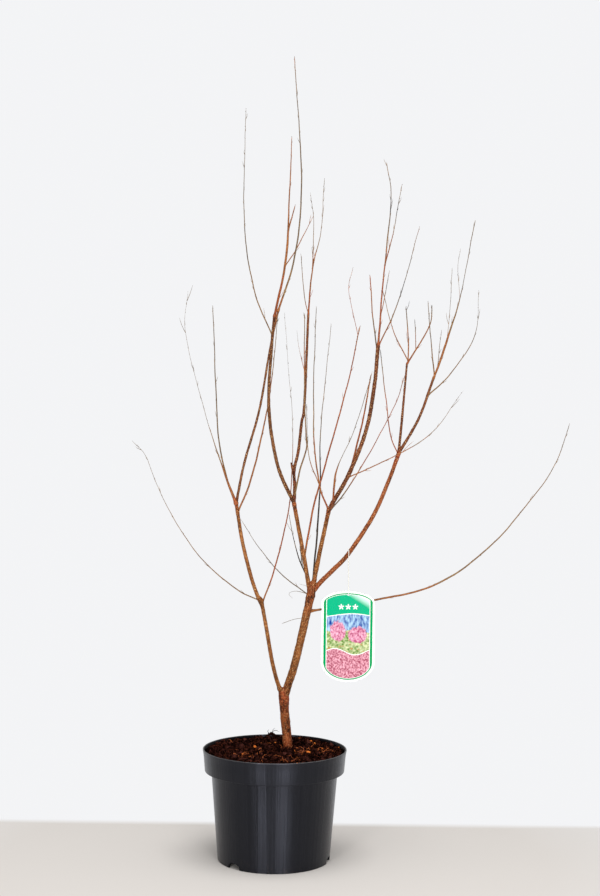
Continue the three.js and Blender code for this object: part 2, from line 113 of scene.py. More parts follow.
def newTree(name, kind, inputs, outputs):
    # each socket by name: a number brings its own kind, and a word is a kind without a value
    kinds = {bool: "Bool", int: "Int", float: "Float"}
    tree = bpy.data.node_groups.new(name, kind)
    for way, sockets in (("INPUT", inputs), ("OUTPUT", outputs)):
        for label, value in sockets.items():
            isNumber = type(value) in kinds
            made = tree.interface.new_socket(label, in_out=way, socket_type="NodeSocket" + (
                kinds[type(value)] if isNumber else value))
            if isNumber:
                made.default_value = value
    return tree, tree.nodes.new("NodeGroupInput").outputs, tree.nodes.new("NodeGroupOutput")


def geometryTree(name, inputs):
    return newTree(name, "GeometryNodeTree", {"Geometry": "Geometry", **inputs}, {"Geometry": "Geometry"})


def closeTree(tree, out, geometry, material=None, smooth=True):
    # the end of a geometry tree: its material, its shading and its output
    if material is not None:
        geometry = put(tree, "GeometryNodeSetMaterial", {"Geometry": geometry, "Material": material})
    shaded = put(tree, "GeometryNodeSetShadeSmooth", {"Geometry": geometry, "Shade Smooth": smooth})
    tree.links.new(shaded, out.inputs[0])
    return tree


def moved(tree, geometry, offset):
    return put(tree, "GeometryNodeSetPosition", {"Geometry": geometry, "Offset": offset})


def scattered(tree, points, shape, turn, scale, **more):
    # copies of a shape on points, as real geometry
    values = {"Points": points, "Instance": shape, "Rotation": turn, "Scale": scale,
              **{name.replace("_", " "): value for name, value in more.items()}}
    copies = put(tree, "GeometryNodeInstanceOnPoints", values)
    return put(tree, "GeometryNodeRealizeInstances", {"Geometry": copies})


def named(tree, name, kind="FLOAT"):
    return put(tree, "GeometryNodeInputNamedAttribute", {"Name": name}, data_type=kind)


def stored(tree, geometry, name, value, kind="FLOAT"):
    return put(tree, "GeometryNodeStoreNamedAttribute", {"Geometry": geometry, "Name": name, "Value": value},
               data_type=kind)


def noiseAt(tree, vector, size, stretch=1.0, detail=2.0, seed=0.0):
    # noise from -1 to 1 whose lumps are about size across, drawn out along the third axis by stretch
    scaled = vectorMaths(tree, "MULTIPLY", vector, (1.0, 1.0, 1 / stretch))
    values = {"Vector": scaled, "W": seed, "Scale": 1 / size, "Detail": detail}
    noise = put(tree, "ShaderNodeTexNoise", values, noise_dimensions="4D")
    return remap(tree, noise, 0.25, 0.75, -1.0, 1.0)


def specksAt(tree, vector, spacing, stretch=0.7, low=0.12, high=0.3):
    # small round spots, 1 in their middle, about spacing apart
    scaled = vectorMaths(tree, "MULTIPLY", vector, (1.0, 1.0, 1 / stretch))
    cell = put(tree, "ShaderNodeTexVoronoi", {"Vector": scaled, "Scale": 1 / spacing})
    return remap(tree, cell, high, low)


def srgb(red, green, blue):
    def linear(value):
        share = value / 255
        return share / 12.92 if share <= 0.04045 else ((share + 0.055) / 1.055) ** 2.4
    return (linear(red), linear(green), linear(blue), 1.0)


def newMaterial(name):
    material = bpy.data.materials.new(name)
    material.use_nodes = True
    tree = material.node_tree
    return material, tree, tree.nodes["Principled BSDF"]


def objectSpace(tree):
    return add(tree, "ShaderNodeTexCoord").outputs["Object"]


def axes(tree, vector):
    return add(tree, "ShaderNodeSeparateXYZ", {0: vector}).outputs


def dressShader(tree, shader, colour, rough, height, strength, depth, specular=0.5):
    # colour, roughness and gloss, and a bump of the given depth that follows height
    connect(tree, shader.inputs["Base Color"], colour)
    connect(tree, shader.inputs["Roughness"], rough)
    bump = put(tree, "ShaderNodeBump", {"Strength": strength, "Distance": depth, "Height": height})
    tree.links.new(bump, shader.inputs["Normal"])
    shader.inputs["Specular IOR Level"].default_value = specular


# Objects and meshes

def useTree(piece, tree, values):
    modifier = piece.modifiers.new(tree.name, "NODES")
    modifier.node_group = tree
    sockets = {item.name: item.identifier for item in tree.interface.items_tree if item.in_out == "INPUT"}
    for name, value in values.items():
        modifier[sockets[name]] = value


def bake(piece):
    # turns the live modifiers into a plain mesh
    depsgraph = bpy.context.evaluated_depsgraph_get()
    mesh = bpy.data.meshes.new_from_object(piece.evaluated_get(depsgraph), depsgraph=depsgraph)
    piece.modifiers.clear()
    piece.data = mesh
    mesh.name = piece.name
    return piece


def addObject(name, mesh):
    piece = bpy.data.objects.new(name, mesh)
    bpy.context.scene.collection.objects.link(piece)
    return piece


def giveMaterials(piece, *materials):
    piece.data.materials.clear()
    for material in materials:
        piece.data.materials.append(material)


def report(piece):
    mesh = piece.data
    mesh.calc_loop_triangles()
    print(f"  {piece.name}: {len(mesh.loop_triangles)} triangles")


def plainMesh(name, shape):
    # a mesh from what bmesh has made
    made = bpy.data.meshes.new(name)
    shape.to_mesh(made)
    shape.free()
    return made


def keepValues(mesh, name, values):
    mesh.attributes.new(name, "FLOAT", "POINT").data.foreach_set("value", values)


def halfTurn(steps):
    return [math.pi * i / steps for i in range(steps + 1)]


def fullTurn(steps):
    return [2 * math.pi * i / steps for i in range(steps)]


def arcPoints(wide, high, angles, lift=0.0):
    return [(wide * math.cos(angle), lift + high * math.sin(angle)) for angle in angles]


# Camera: level, in front of the pot, turned a little about its own axis

cameraSetup = {"lens": 58.5, "place": (0.028, -1.870, 0.527), "roll": 0.65, "clip": (0.05, 50)}


def makeCamera(setup):
    camera = addObject("camera", bpy.data.cameras.new("camera"))
    camera.data.lens = setup["lens"]
    camera.data.clip_start, camera.data.clip_end = setup["clip"]
    level = Matrix.Translation(setup["place"]) @ Matrix.Rotation(math.radians(90), 4, "X")
    camera.matrix_world = level @ Matrix.Rotation(math.radians(setup["roll"]), 4, "Z")
    bpy.context.scene.camera = camera


makeCamera(cameraSetup)


# Growth: the trunk, boughs and twigs as paths, in millimetres. Each row leaves another at a height on its
# middle line, runs through its via points and ends at its tip. thick is the diameter at its start and end,
# stout makes a limb's skin thicker or thinner than its solid, red is how much of its bark is red, swells are
# knots with their height, extra radius and reach, and sunk is how far the trunk goes on below its foot.
limbRows = [
    {"name": "trunk", "foot": (17, 33, 134.5), "via": [(15, 32, 152), (12, 27, 182)],
     "tip": (10, 20, 211), "thick": (12.6, 12.2), "stout": 0.95, "sunk": 5, "piece": "stems", "red": 0.4},
    {"name": "right_stem", "on": "trunk", "height": 203, "via": [(17, 17.5, 222), (27, 14, 258)],
     "tip": (47, 10, 351), "thick": (9.8, 10.4), "piece": "stems"},
    {"name": "left_stem", "on": "trunk", "height": 203,
     "via": [(3.3, 16, 220), (-5, 9, 252), (-17.6, -4.5, 322), (-24.4, -8.5, 338), (-33, -14, 364),
             (-44, -20, 408)], "tip": (-52, -26, 456), "thick": (5.2, 4.5), "piece": "stems",
     "swells": [(214, 0.9, 3), (331, 1.1, 5)]},
    {"name": "centre_left_bough", "on": "right_stem", "height": 333,
     "via": [(40.8, 12.5, 352), (36.5, 14, 376), (27, 19, 425)], "tip": (21, 23, 455), "thick": (5.6, 5),
     "piece": "stems"},
    {"name": "centre_bough", "on": "right_stem", "height": 350, "via": [(56, -6, 400)],
     "tip": (66, -25, 451), "thick": (6, 5), "piece": "stems"},
    {"name": "right_bough", "on": "right_stem", "height": 340,
     "via": [(58.5, 7, 356.5), (73, 5, 371), (92, 2, 392), (122.5, 0, 440), (142, 0, 485)],
     "tip": (155, 0, 522), "thick": (6.2, 4.8), "piece": "stems", "red": 0.55},
    {"name": "left_leader", "on": "left_stem", "height": 456,
     "via": [(-42, -28, 508), (-24, -25, 575), (-12, -17, 650)], "tip": (-2, -10, 701),
     "thick": (3.7, 2.7), "stout": 0.93, "piece": "leaders", "red": 0.5},
    {"name": "centre_left_leader", "on": "centre_left_bough", "height": 455,
     "via": [(-1, 22, 505), (-13, 17, 579), (-10, 14, 660)], "tip": (-7, 15, 696), "thick": (4.4, 3.4),
     "stout": 1.1, "piece": "leaders", "red": 0.3},
    {"name": "centre_leader", "on": "centre_left_bough", "height": 454,
     "via": [(21.5, 27, 478), (20.7, 29, 498), (26, 33, 524), (29.8, 41, 561), (33.2, 48, 585)],
     "tip": (37, 72, 704), "thick": (4.2, 3.2), "piece": "leaders", "red": 0.75},
    {"name": "pruned_stub", "on": "centre_leader", "height": 488, "via": [], "tip": (16.8, 31, 508),
     "thick": (3.4, 2.8), "piece": "leaders", "red": 0.8},
    {"name": "centre_right_leader", "on": "centre_bough", "height": 450,
     "via": [(89.5, -38, 494), (110, -52, 549), (119, -63, 602)], "tip": (123, -74, 654),
     "thick": (5.4, 4.6), "piece": "leaders", "red": 0.7},
    {"name": "right_leader", "on": "right_bough", "height": 521, "via": [(180.5, 4, 567)],
     "tip": (199, 9, 618), "thick": (4, 3.2), "piece": "leaders", "red": 0.7},
    {"name": "right_middle_bough", "on": "right_bough", "height": 521, "via": [(159, 9, 564)],
     "tip": (166, 26, 638), "thick": (3.6, 2.6), "piece": "leaders", "red": 0.7},
]

# The masses of twigs. thick is what the growth rule goes by, girths are the diameters that follow each
# other along the twig itself, and tones are its finishes in the same way. bare is the length without side
# growth at its foot, and collar how much it swells where it starts, and over what run.
massRows = [
    {"name": "low_left_twigs", "on": "left_stem", "height": 330,
     "via": [(-50, -16, 346), (-90, -33, 381), (-123, -48, 427), (-149, -59, 478), (-163, -66, 515)],
     "tip": (-179, -70, 533), "thick": 1.8, "girths": (1.6, 1.3, 0.97, 0.72, 0.5, 0.4),
     "piece": "left_twigs", "tones": "olive olive olive grey"},
    {"name": "inner_left_twigs", "on": "left_stem", "height": 325,
     "via": [(-15.5, -2, 335), (-3, 10, 371), (15, 50, 454), (18, 74, 555), (12, 84, 625)],
     "tip": (5, 95, 710), "thick": 2.2, "girths": (2, 1.75, 1.3, 0.55, 0.3, 0.25), "piece": "left_twigs",
     "tones": "golden red red olive grey grey"},
    {"name": "outer_left_twigs", "on": "left_stem", "height": 455,
     "via": [(-63, -31, 484), (-87, -50, 556), (-114.5, -71, 664)], "tip": (-112, -77, 718),
     "thick": 3, "girths": (4.2, 1.6, 0.54, 0.4, 0.34, 0.2),
     "shoots": [{"height": 486, "via": [(-76, -24, 546)], "tip": (-86, 0, 708), "girths": (1.9, 1.4, 0.85)}],
     "piece": "left_twigs", "tones": "red olive grey grey grey"},
    {"name": "left_whip", "on": "left_stem", "height": 444, "via": [(-33, -8, 491), (-13, 30, 592)],
     "tip": (-3, 40, 697), "thick": 2, "girths": (2.3, 2.25, 2, 1.5, 1, 0.6), "piece": "left_twigs",
     "tones": "golden golden golden grey"},
    {"name": "tallest_twigs", "on": "left_leader", "height": 701, "via": [(19, -3, 775), (26, 6, 874)],
     "tip": (15, 18, 1034), "thick": 2.6, "girths": (2.6, 2, 1.75, 1.5, 1, 0.85), "piece": "left_twigs",
     "tones": "golden grey grey grey grey golden"},
    {"name": "centre_left_top_twigs", "on": "centre_left_leader", "height": 696,
     "via": [(7, 19, 771), (10, 21, 835)], "tip": (13, 26, 932), "thick": 3.3,
     "girths": (3.3, 2.9, 3, 1.75, 1.45, 0.85),
     "shoots": [
         {"height": 763, "via": [(22, 32, 790)], "tip": (42, 50, 833), "girths": (1.35, 1.15, 0.5)},
         {"height": 808, "via": [], "tip": (18, 30, 844), "girths": (2.1, 1.5, 1)},
     ], "piece": "centre_twigs", "tones": "red golden golden golden"},
    {"name": "tall_left_twigs", "on": "centre_left_leader", "height": 672,
     "via": [(-33, 0, 729), (-46, -20, 814)], "tip": (-45, -38, 953), "thick": 2,
     "girths": (1.6, 1.45, 1.25, 0.92, 0.65, 0.45), "piece": "left_twigs",
     "tones": "olive olive grey grey grey"},
    {"name": "centre_top_twigs", "on": "centre_leader", "height": 704, "via": [(42, 86, 768), (53, 99, 820)],
     "tip": (57, 113, 894), "thick": 2.4, "girths": (2.3, 1.95, 1.5, 0.75, 0.55, 0.6),
     "shoots": [
         {"height": 706, "via": [(32, 70, 727)], "tip": (26, 60, 784), "girths": (1.1, 0.9, 0.6)},
         {"height": 768, "via": [(43, 87, 830)], "tip": (38, 88, 870), "girths": (1.2, 0.7, 0.3)},
         {"height": 776, "via": [], "tip": (41, 95, 797), "girths": (1.2, 0.6)},
     ], "piece": "centre_twigs", "tones": "red golden olive grey"},
    {"name": "centre_side_twigs", "on": "centre_leader", "height": 462,
     "via": [(27.5, 19, 495), (36.3, 18, 526), (35.5, 20, 545), (33, 32, 603)], "tip": (32, 52, 705),
     "thick": 2.4, "girths": (2.3, 2, 1.5, 1.4, 1.2, 0.9), "piece": "centre_twigs",
     "tones": "olive olive olive golden grey"},
    {"name": "centre_whip", "on": "centre_leader", "height": 622, "via": [(25, 74, 661)],
     "tip": (22, 85, 684), "thick": 1.2, "girths": (1, 0.42, 0.2), "piece": "centre_twigs",
     "tones": "red red grey"},
    {"name": "inner_front_twigs", "on": "centre_bough", "height": 448,
     "via": [(54, -34, 478), (46, -50, 530), (44, -74, 609)], "tip": (46, -98, 699), "thick": 2.4,
     "girths": (2.3, 1.9, 1.45, 1.08, 0.88, 0.68),
     "shoots": [{"height": 478, "via": [(39, -4, 520)], "tip": (36, 10, 583), "girths": (1.3, 0.9, 0.6)}],
     "piece": "front_twigs", "tones": "red golden olive grey grey"},
    {"name": "middle_twigs", "on": "centre_left_bough", "height": 384,
     "via": [(46, 35, 447), (58, 49, 492), (90.5, 80, 612)], "tip": (107, 95, 692), "thick": 2.8,
     "girths": (2.6, 2.4, 2.1, 1.85, 1.5, 1.3),
     "shoots": [{"height": 680, "via": [(92, 104, 740)], "tip": (97, 111, 773), "girths": (0.8, 0.55, 0.4)}],
     "piece": "centre_twigs", "tones": "golden red red red red golden"},
    {"name": "dark_middle_twigs", "on": "right_stem", "height": 346,
     "via": [(52, 31, 422), (55.5, 60, 488), (55.5, 86, 552)], "tip": (69, 134, 698), "thick": 2.3,
     "girths": (2.3, 2.3, 1.7, 1.1, 0.68, 0.5), "piece": "centre_twigs",
     "tones": "dark dark dark olive grey"},
    {"name": "front_top_twigs", "on": "centre_right_leader", "height": 654,
     "via": [(127, -94, 730), (134, -119, 826)], "tip": (128, -127, 870), "thick": 2.6,
     "girths": (2.7, 1.9, 1.6, 1.5, 0.9, 0.7),
     "shoots": [
         {"height": 690, "via": [(130, -74, 712)], "tip": (137, -54, 749), "girths": (1.1, 0.8, 0.5)},
         {"height": 750, "via": [(139, -90, 792)], "tip": (150, -74, 853), "girths": (1.5, 0.8, 0.55)},
     ], "piece": "front_twigs", "tones": "red red golden dark olive"},
    {"name": "front_left_twigs", "on": "centre_right_leader", "height": 644, "via": [(117, -62, 688)],
     "tip": (113, -48, 744), "thick": 1.8, "girths": (1.7, 1.4, 1.3, 1.1), "piece": "front_twigs",
     "tones": "dark golden red"},
    {"name": "front_right_twigs", "on": "centre_right_leader", "height": 652, "via": [(146, -102, 708)],
     "tip": (167, -142, 791), "thick": 2, "girths": (1.7, 1.3, 0.85, 0.65, 0.5), "piece": "front_twigs",
     "tones": "red dark golden"},
    {"name": "inner_right_twigs", "on": "centre_right_leader", "height": 498, "via": [(106, -24, 557)],
     "tip": (118, -8, 622), "thick": 2.6, "girths": (2.6, 2, 1.5), "piece": "front_twigs",
     "tones": "red red golden"},
    {"name": "low_front_twigs", "on": "centre_right_leader", "height": 458,
     "via": [(71.8, -36, 482), (76.5, -40, 506), (96, -66, 553)], "tip": (114, -96, 617), "thick": 2.6,
     "girths": (2.3, 2.6, 0.7, 0.7, 0.7, 0.7, 0.6), "piece": "front_twigs",
     "tones": "red golden grey grey grey grey"},
    {"name": "crossing_twigs", "on": "centre_right_leader", "height": 490,
     "via": [(132, -49, 511), (188, -68, 545)], "tip": (226, -96, 599), "thick": 1.8,
     "girths": (1.5, 1.3, 1.1, 0.85, 0.5, 0.25), "piece": "front_twigs",
     "tones": "golden golden olive grey"},
    {"name": "back_right_twigs", "on": "centre_bough", "height": 445,
     "via": [(89, -6, 475), (118, 10, 522), (151, 32, 584)], "tip": (165, 52, 623), "thick": 2,
     "girths": (1.9, 1.5, 1.2, 1, 0.9, 0.8), "piece": "right_twigs",
     "tones": "dark golden red red golden"},
    {"name": "right_inner_twigs", "on": "right_bough", "height": 520,
     "via": [(145, 10, 544), (140, 32, 588)], "tip": (133, 62, 658), "thick": 1.7,
     "girths": (1.4, 1.3, 1.1, 0.9), "piece": "right_twigs", "tones": "red red golden dark"},
    {"name": "right_middle_twigs", "on": "right_middle_bough", "height": 638,
     "via": [(184.5, 13, 669), (194, 3, 690)], "tip": (195, -5, 712), "thick": 2.2,
     "girths": (2.2, 1.7, 1.4, 1.1),
     "shoots": [
         {"height": 640, "via": [(168, 34, 672)], "tip": (165, 43, 714), "girths": (1.7, 1.5, 1)},
         {"height": 641, "via": [(150, 49, 681)], "tip": (136, 81, 740), "girths": (1.6, 1, 0.6)},
         {"height": 656, "via": [], "tip": (174, 4, 694), "girths": (1, 0.7)},
     ], "piece": "right_twigs", "tones": "red golden golden dark"},
    {"name": "right_top_twigs", "on": "right_leader", "height": 618,
     "via": [(210, 13, 648), (234, 27, 724), (249, 44, 797)], "tip": (256, 52, 830), "thick": 2.8,
     "girths": (2.6, 2.9, 1.7, 0.7, 0.85, 0.95),
     "shoots": [
         {"height": 622, "via": [(197, 32, 673)], "tip": (195, 54, 723), "girths": (1.8, 1.1, 0.8)},
         {"height": 632, "via": [], "tip": (212, 42, 684), "girths": (0.95, 0.7, 0.45)},
         {"height": 668, "via": [(223, 36, 722)], "tip": (226, 54, 767), "girths": (0.5, 0.5, 0.45)},
         {"height": 724, "via": [(229, 8, 762)], "tip": (231, -4, 784), "girths": (0.35, 0.35)},
     ], "piece": "right_twigs", "tones": "golden golden olive grey grey grey"},
    {"name": "low_right_top_twigs", "on": "right_leader", "height": 596,
     "via": [(219.5, -4, 624), (248, -27, 673)], "tip": (249, -50, 726), "thick": 1.9,
     "girths": (1.85, 1.4, 1, 0.9, 0.35, 0.35), "piece": "right_twigs", "tones": "olive olive grey grey"},
    {"name": "long_right_twigs", "on": "right_stem", "height": 316,
     "via": [(94, 26, 324), (203, 49, 346.5), (280, 61, 398), (341, 69, 468), (369, 72, 510)],
     "tip": (388, 76, 563), "thick": 2.8, "bare": 110, "collar": (0.7, 4),
     "girths": (3, 2.6, 2.3, 1.6, 1.1, 0.7), "piece": "right_twigs",
     "tones": "golden golden olive olive grey"},
    {"name": "grey_twigs", "on": "right_stem", "height": 335, "via": [(7, 40, 360), (-23, 68, 391)],
     "tip": (-51, 96, 430), "thick": 1.5, "girths": (1.4, 1.2, 0.8, 0.4), "piece": "centre_twigs",
     "tones": "grey grey"},
    {"name": "dark_twigs", "on": "centre_left_bough", "height": 358, "via": [(26, 32, 389)],
     "tip": (14, 58, 440), "thick": 1.7, "girths": (1.7, 1.4, 0.9, 0.6),
     "shoots": [{"height": 372, "via": [(30, 40, 396)], "tip": (26, 60, 424), "girths": (1.2, 0.9, 0.6)}],
     "piece": "centre_twigs", "tones": "dark grey"},
]

# Hair-fine twigs on the right stem, too thin for a solid of their own
hairRows = [
    {"on": "right_stem", "height": 338,
     "via": [(38, 14, 339), (26, 16, 342), (18, 18, 340), (16, 20, 336.5)], "tip": (20.5, 22, 331.5),
     "girths": (0.9, 0.7, 0.35, 0.3)},
    {"on": "right_stem", "height": 345, "via": [(37, 15, 349)], "tip": (29, 17, 351),
     "girths": (0.4, 0.3)},
    {"on": "right_stem", "height": 308, "via": [(20, 16, 304)], "tip": (7, 18, 299),
     "girths": (0.5, 0.6)},
]
toneNames = ["red", "golden", "olive", "grey", "dark"]

# The rule for the short side growth of every twig, which the solids follow too
spurRule = {"every": (38, 64), "length": (4, 8), "longLength": (10, 18), "longShare": 0.12, "lean": (14, 30),
            "endGap": 4, "bend": 0.6, "upturn": 0.25, "clear": 1.2, "turn": 137.5, "bareFoot": 24,
            "shootThick": 0.62, "girths": (0.62, 0.34)}

# Finer side growth between those spurs
twigletRule = {"every": (15, 31), "length": (2, 5.5), "lean": (12, 28), "endGap": 5, "upturn": 0.2,
               "startSlack": 10, "girths": (0.5, 0.3), "seed": 9001}

# Wood swells where it leaves its parent, and where others leave it
collarRule = {"foot": 0.12, "carried": 0.03, "carriedGap": 4, "footRun": 1.5, "fork": 0.08, "knot": 0.05,
              "forkRun": 1.0, "endRun": 0.9}


def seededRandom(seed):
    # the solids' own generator, so that both grow the same spurs
    factor, limit = 16807, 2147483647
    state = [seed]

    def draw(low=0.0, high=1.0):
        state[0] = state[0] * factor % limit
        return low + (high - low) * state[0] / limit
    return draw


def distancesAlong(line):
    return np.concatenate([[0], np.cumsum(np.linalg.norm(np.diff(line, axis=0), axis=1))])


def smoothPath(points):
    # uniform Catmull-Rom through the points, as a close row of points with their distance along it
    points = np.array(points, float)
    if len(points) == 2:
        line = points[0] + np.linspace(0, 1, 201)[:, None] * (points[1] - points[0])
    else:
        padded = np.vstack([2 * points[0] - points[1], points, 2 * points[-1] - points[-2]])
        stretches = []
        for i in range(len(points) - 1):
            before, start, end, after = padded[i:i + 4]
            t = np.linspace(0, 1, 81)[:, None]
            leave = (end - before) / 2
            arrive = (after - start) / 2
            cubic = 2 * start - 2 * end + leave + arrive
            square = -3 * start + 3 * end - 2 * leave - arrive
            stretches.append((start + leave * t + square * t ** 2 + cubic * t ** 3)[(i > 0):])
        line = np.vstack(stretches)
    along = distancesAlong(line)
    return {"line": line, "along": along, "length": along[-1]}


def pointAt(path, distance):
    return np.stack([np.interp(distance, path["along"], path["line"][:, k]) for k in range(3)], axis=-1)


def tangentAt(path, distance, reach=0.4):
    ahead = pointAt(path, np.minimum(distance + reach, path["length"]))
    run = ahead - pointAt(path, np.maximum(distance - reach, 0))
    return run / np.linalg.norm(run, axis=-1, keepdims=True)


def spaced(path, count):
    return pointAt(path, np.linspace(0, path["length"], count + 1))


def samplesOf(path, radius, count=120):
    # points along a limb or twig, and its radius, for others to keep clear of
    return {"samples": spaced(path, count), "radius": radius}


def distanceAtHeight(path, height):
    return np.linspace(0, path["length"], 201)[np.abs(spaced(path, 200)[:, 2] - height).argmin()]


def rowPath(row, parent):
    start = row["foot"] if "foot" in row else pointAt(parent, distanceAtHeight(parent, row["height"]))
    return smoothPath([start, *row["via"], row["tip"]])


def sideGrowth(path, along, random, rule):
    # short growth that winds round a twig from along onwards, each leaning towards the tip and turning up
    turn = random(0, 360)
    found = []
    while along < path["length"] - rule["endGap"]:
        tangent = Vector(tangentAt(path, along))
        side = Vector((0, 1, 0)).cross(tangent).normalized()
        side = Matrix.Rotation(math.radians(turn), 3, tangent) @ side
        lean = math.radians(random(*rule["lean"]))
        isLong = "longShare" in rule and random() < rule["longShare"]
        reach = random(*rule["longLength" if isLong else "length"])
        away = np.array(tangent * math.cos(lean) + side * math.sin(lean))
        start = pointAt(path, along)
        bend = start + away * reach * spurRule["bend"]
        tip = start + away * reach + np.array(tangent) * reach * rule["upturn"]
        found.append({"start": start, "bend": bend, "tip": tip, "at": along})
        along += random(*rule["every"])
        turn += spurRule["turn"]
    return found


def isClear(spur, runs):
    points = [spur["start"] + (spur["tip"] - spur["start"]) * share for share in (0.4, 0.7, 1)]
    return all((np.linalg.norm(run["samples"] - point, axis=1) > run["radius"] + spurRule["clear"]).all()
               for run in runs for point in points)


growthSeed, seedStep = 101, 37      # the solids' own seeds, one for each mass
grown = {}      # every limb and mass by name: its twigs and the samples that others keep clear of


def noteFork(parentName, height, radius):
    at = distanceAtHeight(grown[parentName]["path"], height)
    grown[parentName]["forks"].append((at, radius))
    return at


def growLimb(row):
    radius = row["thick"][0] / 2
    path = rowPath(row, grown[row["on"]]["path"] if "on" in row else None)
    at = noteFork(row["on"], row["height"], radius) if "on" in row else 0
    grown[row["name"]] = {"row": row, "path": path, "runs": [samplesOf(path, radius)], "forks": [],
                          "spurs": [], "at": at}


def growMass(row, random):
    # the twig of the row and its shoots, then the spurs on each that stay clear of all else
    radius = row["thick"] / 2
    stem = rowPath(row, grown[row["on"]]["path"])
    noteFork(row["on"], row["height"], radius)
    twigs = [{"path": stem, "radius": radius, "girths": row["girths"],
              "bare": row.get("bare", spurRule["bareFoot"])}]
    for shoot in row.get("shoots", []):
        twigs.append({"path": rowPath(shoot, stem), "radius": radius * spurRule["shootThick"],
                      "girths": shoot["girths"], "bare": spurRule["bareFoot"]})
    others = [run for other in grown.values() for run in other["runs"]]
    spurs = []
    for twig in twigs:
        mine = [samplesOf(other["path"], other["radius"], 60) for other in twigs if other is not twig]
        grew = sideGrowth(twig["path"], twig["bare"], random, spurRule)
        spurs += [{**spur, "twig": twig} for spur in grew if isClear(spur, others + mine)]
    runs = [samplesOf(twig["path"], twig["radius"]) for twig in twigs]
    grown[row["name"]] = {"row": row, "path": stem, "runs": runs, "forks": [], "twigs": twigs, "spurs": spurs}


for row in limbRows:
    growLimb(row)
for k, row in enumerate(massRows):
    growMass(row, seededRandom(growthSeed + seedStep * k))
print("growth worked out:", len(grown), "limbs and masses,",
      sum(len(item["spurs"]) for item in grown.values()), "spurs")


# Strands: rows of points with what the node trees need at each one, gathered into one mesh of edges

# The slow bends of a strand: their wavelengths, and how far from its foot they come in fully
wobbleShape = {"waves": (19, 41, 73), "unit": 41, "fadeRun": 25}
strandShift = 0.037      # metres by which each strand's bark pattern is moved on from the last one's


def strand(path, radii, step, tone, seed, wobble=0.0, warm=None, bead=None):
    # radii, tone, warm and bead are functions of the distance along the path, in millimetres like the path
    count = max(3, int(path["length"] / step))
    distance = np.linspace(0, path["length"], count + 1)
    points = pointAt(path, distance)
    heading = tangentAt(path, distance)
    if wobble:
        phases = np.random.default_rng(seed).uniform(0, 2 * math.pi, (3, 2))
        across = np.cross(heading, (0.3, 1, 0.1))
        across /= np.linalg.norm(across, axis=1, keepdims=True)
        aside = np.cross(heading, across)
        fade = np.minimum(1, distance / wobbleShape["fadeRun"])[:, None]
        for wave, phase in zip(wobbleShape["waves"], phases):
            turn = distance[:, None] * 2 * math.pi / wave
            swing = across * np.sin(turn + phase[0]) + aside * np.sin(turn + phase[1])
            points = points + fade * wobble * wave / wobbleShape["unit"] * swing
    values = {"tone": tone(distance), "warm": warm(distance) if warm else 0,
              "bead": bead(distance) if bead else 1}
    values = {key: value + np.zeros(count + 1) for key, value in values.items()}
    return {"points": points * mm, "girth": radii(distance) * mm, "heading": heading,
            "along": distance * mm + (seed % 97) * strandShift, **values}


def strandMesh(name, strands):
    mesh = bpy.data.meshes.new(name)
    sizes = [len(s["points"]) for s in strands]
    first = np.concatenate([[0], np.cumsum(sizes)])
    edges = [(first[k] + j, first[k] + j + 1) for k, size in enumerate(sizes) for j in range(size - 1)]
    mesh.from_pydata(np.vstack([s["points"] for s in strands]).tolist(), edges, [])
    for key in ("girth", "along", "tone", "warm", "bead"):
        keepValues(mesh, key, np.concatenate([s[key] for s in strands]).astype(np.float32))
    heading = np.vstack([s["heading"] for s in strands]).astype(np.float32)
    mesh.attributes.new("heading", "FLOAT_VECTOR", "POINT").data.foreach_set("vector", heading.ravel())
    return mesh


def tubeRound(tree, given, profile=None):
    # a tube as thick as girth round every strand: the strands as curves, and the tube
    curve = put(tree, "GeometryNodeMeshToCurve", {"Mesh": given["Geometry"]})
    circle = put(tree, "GeometryNodeCurvePrimitiveCircle", {"Resolution": given["Sides"], "Radius": 1.0})
    tube = put(tree, "GeometryNodeCurveToMesh", {
        "Curve": curve, "Profile Curve": profile(circle) if profile else circle,
        "Scale": named(tree, "girth"), "Fill Caps": True})
    return curve, tube


def skinTree():
    # tubes with their own straightened space kept for the bark
    tree, given, out = geometryTree("limb skin", {"Sides": 12})

    def withTurn(circle):
        factor = add(tree, "GeometryNodeSplineParameter").outputs["Factor"]
        return stored(tree, circle, "turn", maths(tree, "MULTIPLY", factor, 2 * math.pi))

    tube = tubeRound(tree, given, withTurn)[1]
    turn, radius = named(tree, "turn"), named(tree, "girth")
    around = put(tree, "ShaderNodeCombineXYZ", {
        "X": maths(tree, "MULTIPLY", maths(tree, "COSINE", turn), radius),
        "Y": maths(tree, "MULTIPLY", maths(tree, "SINE", turn), radius),
        "Z": named(tree, "along"),
    })
    return closeTree(tree, out, stored(tree, tube, "barkSpace", around, "FLOAT_VECTOR"))


